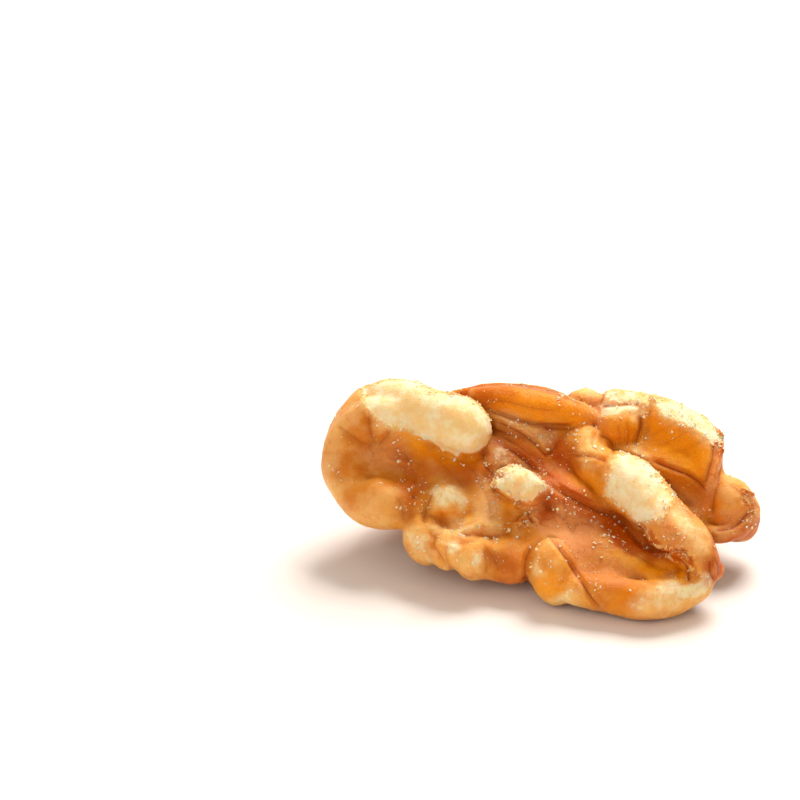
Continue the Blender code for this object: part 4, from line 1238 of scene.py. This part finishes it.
class WALNUT_OT_crumbs(bpy.types.Operator):
    """Scatter crumbs of broken flesh over the kernel"""
    bl_idname = "walnut.crumbs"
    bl_label = "Scatter crumbs"

    def execute(self, context):
        shape, colours, _ = settings()
        points, _, normals, marked, box = kernel_skin(shape.grid, shape.wrinkle)
        lumps, sides, tone = scattered_crumbs(points, normals, marked, shape.crumbs, shape.crumb_size)
        mesh_piece("crumbs", into_box(lumps, box), sides, {"tone": tone}, crumb_material(colours), False)
        return {"FINISHED"}


class WALNUT_OT_flakes(bpy.types.Operator):
    """Lift loose flakes of torn skin off the inner face"""
    bl_idname = "walnut.flakes"
    bl_label = "Lift flakes"

    def execute(self, context):
        shape, colours, _ = settings()
        points, _, normals, marked, box = kernel_skin(shape.grid, shape.wrinkle)
        flat, _ = pictured(points)
        seen = 1 - marked["hidden"]
        corners, faces, tones = [], [], []
        for width, curl, tone, spots in FLAKES.values():
            at = on_skin(flat, seen, smooth_path(from_picture(spots), SPOT_STEPS))
            strides = np.linalg.norm(np.diff(points[at], axis=0), axis=1)
            jumps = np.append(np.flatnonzero(strides > LONGEST_STRIDE), len(at) - 1)
            at = at[:jumps[0] + 1]
            if len(at) < FEWEST_SPOTS:
                continue
            path = smooth_path(points[at][::KEPT_EVERY], LINE_STEPS)
            lean = smooth_path(normals[at][::KEPT_EVERY], LINE_STEPS)
            ring, quads, caps = curled_flake(path, lean, width, curl, FLAKE_THICKNESS)
            start = sum(map(len, corners))
            corners.append(ring)
            tones.append(np.full(len(ring), tone))
            faces += (quads + start).tolist() + (caps + start).tolist()
        mesh_piece("skin_flakes", into_box(np.vstack(corners), box), faces, {"tone": np.concatenate(tones)},
                   flake_material(colours))
        return {"FINISHED"}


# The stage, in metres: half the floor's side, the point that the lights face, and each light's
# place and width.
FLOOR_HALF = 2.0
KERNEL_MIDDLE = (0, 0, 0.006)
KEY_PLACE, KEY_SIZE, KEY_COLOUR = (0.065, 0.17, 0.22), 0.15, "#FFFAF4"
FILL_PLACE, FILL_SIZE, FILL_COLOUR = (-0.11, -0.17, 0.15), 0.16, "#FFF3E6"


def turn_toward(thing, direction):
    """Turns a camera or light so that it looks along a direction, with its top upward."""
    thing.rotation_mode = "QUATERNION"
    thing.rotation_quaternion = Vector(direction).to_track_quat("-Z", "Y")


def soft_light(name, place, size, power, hex_colour):
    """A square light that faces the kernel's middle. Place and size are in metres."""
    data = bpy.data.lights.new(name, "AREA")
    data.size = size
    data.energy = power
    data.color = from_hex(hex_colour)[:3]
    lamp = bpy.data.objects.new(name, data)
    lamp.location = place
    bpy.context.scene.collection.objects.link(lamp)
    turn_toward(lamp, Vector(KERNEL_MIDDLE) - Vector(place))


class WALNUT_OT_stage(bpy.types.Operator):
    """Set up the white floor, the soft lights and the camera"""
    bl_idname = "walnut.stage"
    bl_label = "Set stage"

    def execute(self, context):
        shape, _, studio = settings()
        box = kernel_skin(shape.grid, shape.wrinkle)[4]
        mesh = bpy.data.meshes.new("floor")
        corners = [(x * FLOOR_HALF, y * FLOOR_HALF, 0) for x, y in ((-1, -1), (1, -1), (1, 1), (-1, 1))]
        mesh.from_pydata(corners, [], [(0, 1, 2, 3)])
        mesh.materials.append(floor_material(studio.floor_colour))
        floor = bpy.data.objects.new("floor", mesh)
        context.scene.collection.objects.link(floor)
        soft_light("key light", KEY_PLACE, KEY_SIZE, studio.key, KEY_COLOUR)
        soft_light("fill light", FILL_PLACE, FILL_SIZE, studio.fill, FILL_COLOUR)
        world = bpy.data.worlds.new("studio")
        world.use_nodes = True
        surround = world.node_tree.nodes["Background"].inputs
        surround["Color"].default_value = from_hex(studio.sky_colour)
        surround["Strength"].default_value = studio.sky
        world.cycles_visibility.glossy = False
        context.scene.world = world
        context.scene.view_settings.view_transform = "Standard"
        lens = bpy.data.cameras.new("camera")
        lens.lens = LENS
        lens.sensor_width = SENSOR
        lens.clip_start = CLIP_START
        camera = bpy.data.objects.new("camera", lens)
        camera.location = into_box(EYE, box)
        turn_toward(camera, -TOWARD_EYE)
        context.scene.collection.objects.link(camera)
        context.scene.camera = camera
        return {"FINISHED"}


class WALNUT_PT_panel(bpy.types.Panel):
    bl_label = "Walnut"
    bl_space_type = "VIEW_3D"
    bl_region_type = "UI"
    bl_category = "Walnut"

    def draw(self, context):
        for group in settings():
            for label in group.bl_rna.properties.keys():
                if label not in ("rna_type", "name"):
                    self.layout.prop(group, label)
        for made in (WALNUT_OT_stage, WALNUT_OT_kernel, WALNUT_OT_crumbs, WALNUT_OT_flakes):
            self.layout.operator(made.bl_idname)


CLASSES = (WalnutShape, WalnutColours, WalnutStudio, WALNUT_OT_kernel, WALNUT_OT_crumbs,
           WALNUT_OT_flakes, WALNUT_OT_stage, WALNUT_PT_panel)
GROUPS = {"walnut_shape": WalnutShape, "walnut_colours": WalnutColours, "walnut_studio": WalnutStudio}


def register():
    """Makes the classes known to Blender, and hangs the settings on the scene."""
    for made in CLASSES:
        bpy.utils.register_class(made)
    for label, group in GROUPS.items():
        setattr(bpy.types.Scene, label, bpy.props.PointerProperty(type=group))


def unregister():
    """Undoes register, in the opposite order."""
    for label in GROUPS:
        delattr(bpy.types.Scene, label)
    for made in reversed(CLASSES):
        bpy.utils.unregister_class(made)


def main():
    """Registers the classes, then builds every piece and the stage."""
    register()
    bpy.ops.walnut.kernel()
    bpy.ops.walnut.crumbs()
    bpy.ops.walnut.flakes()
    bpy.ops.walnut.stage()
    bpy.context.view_layer.update()


if __name__ == "__main__":
    main()
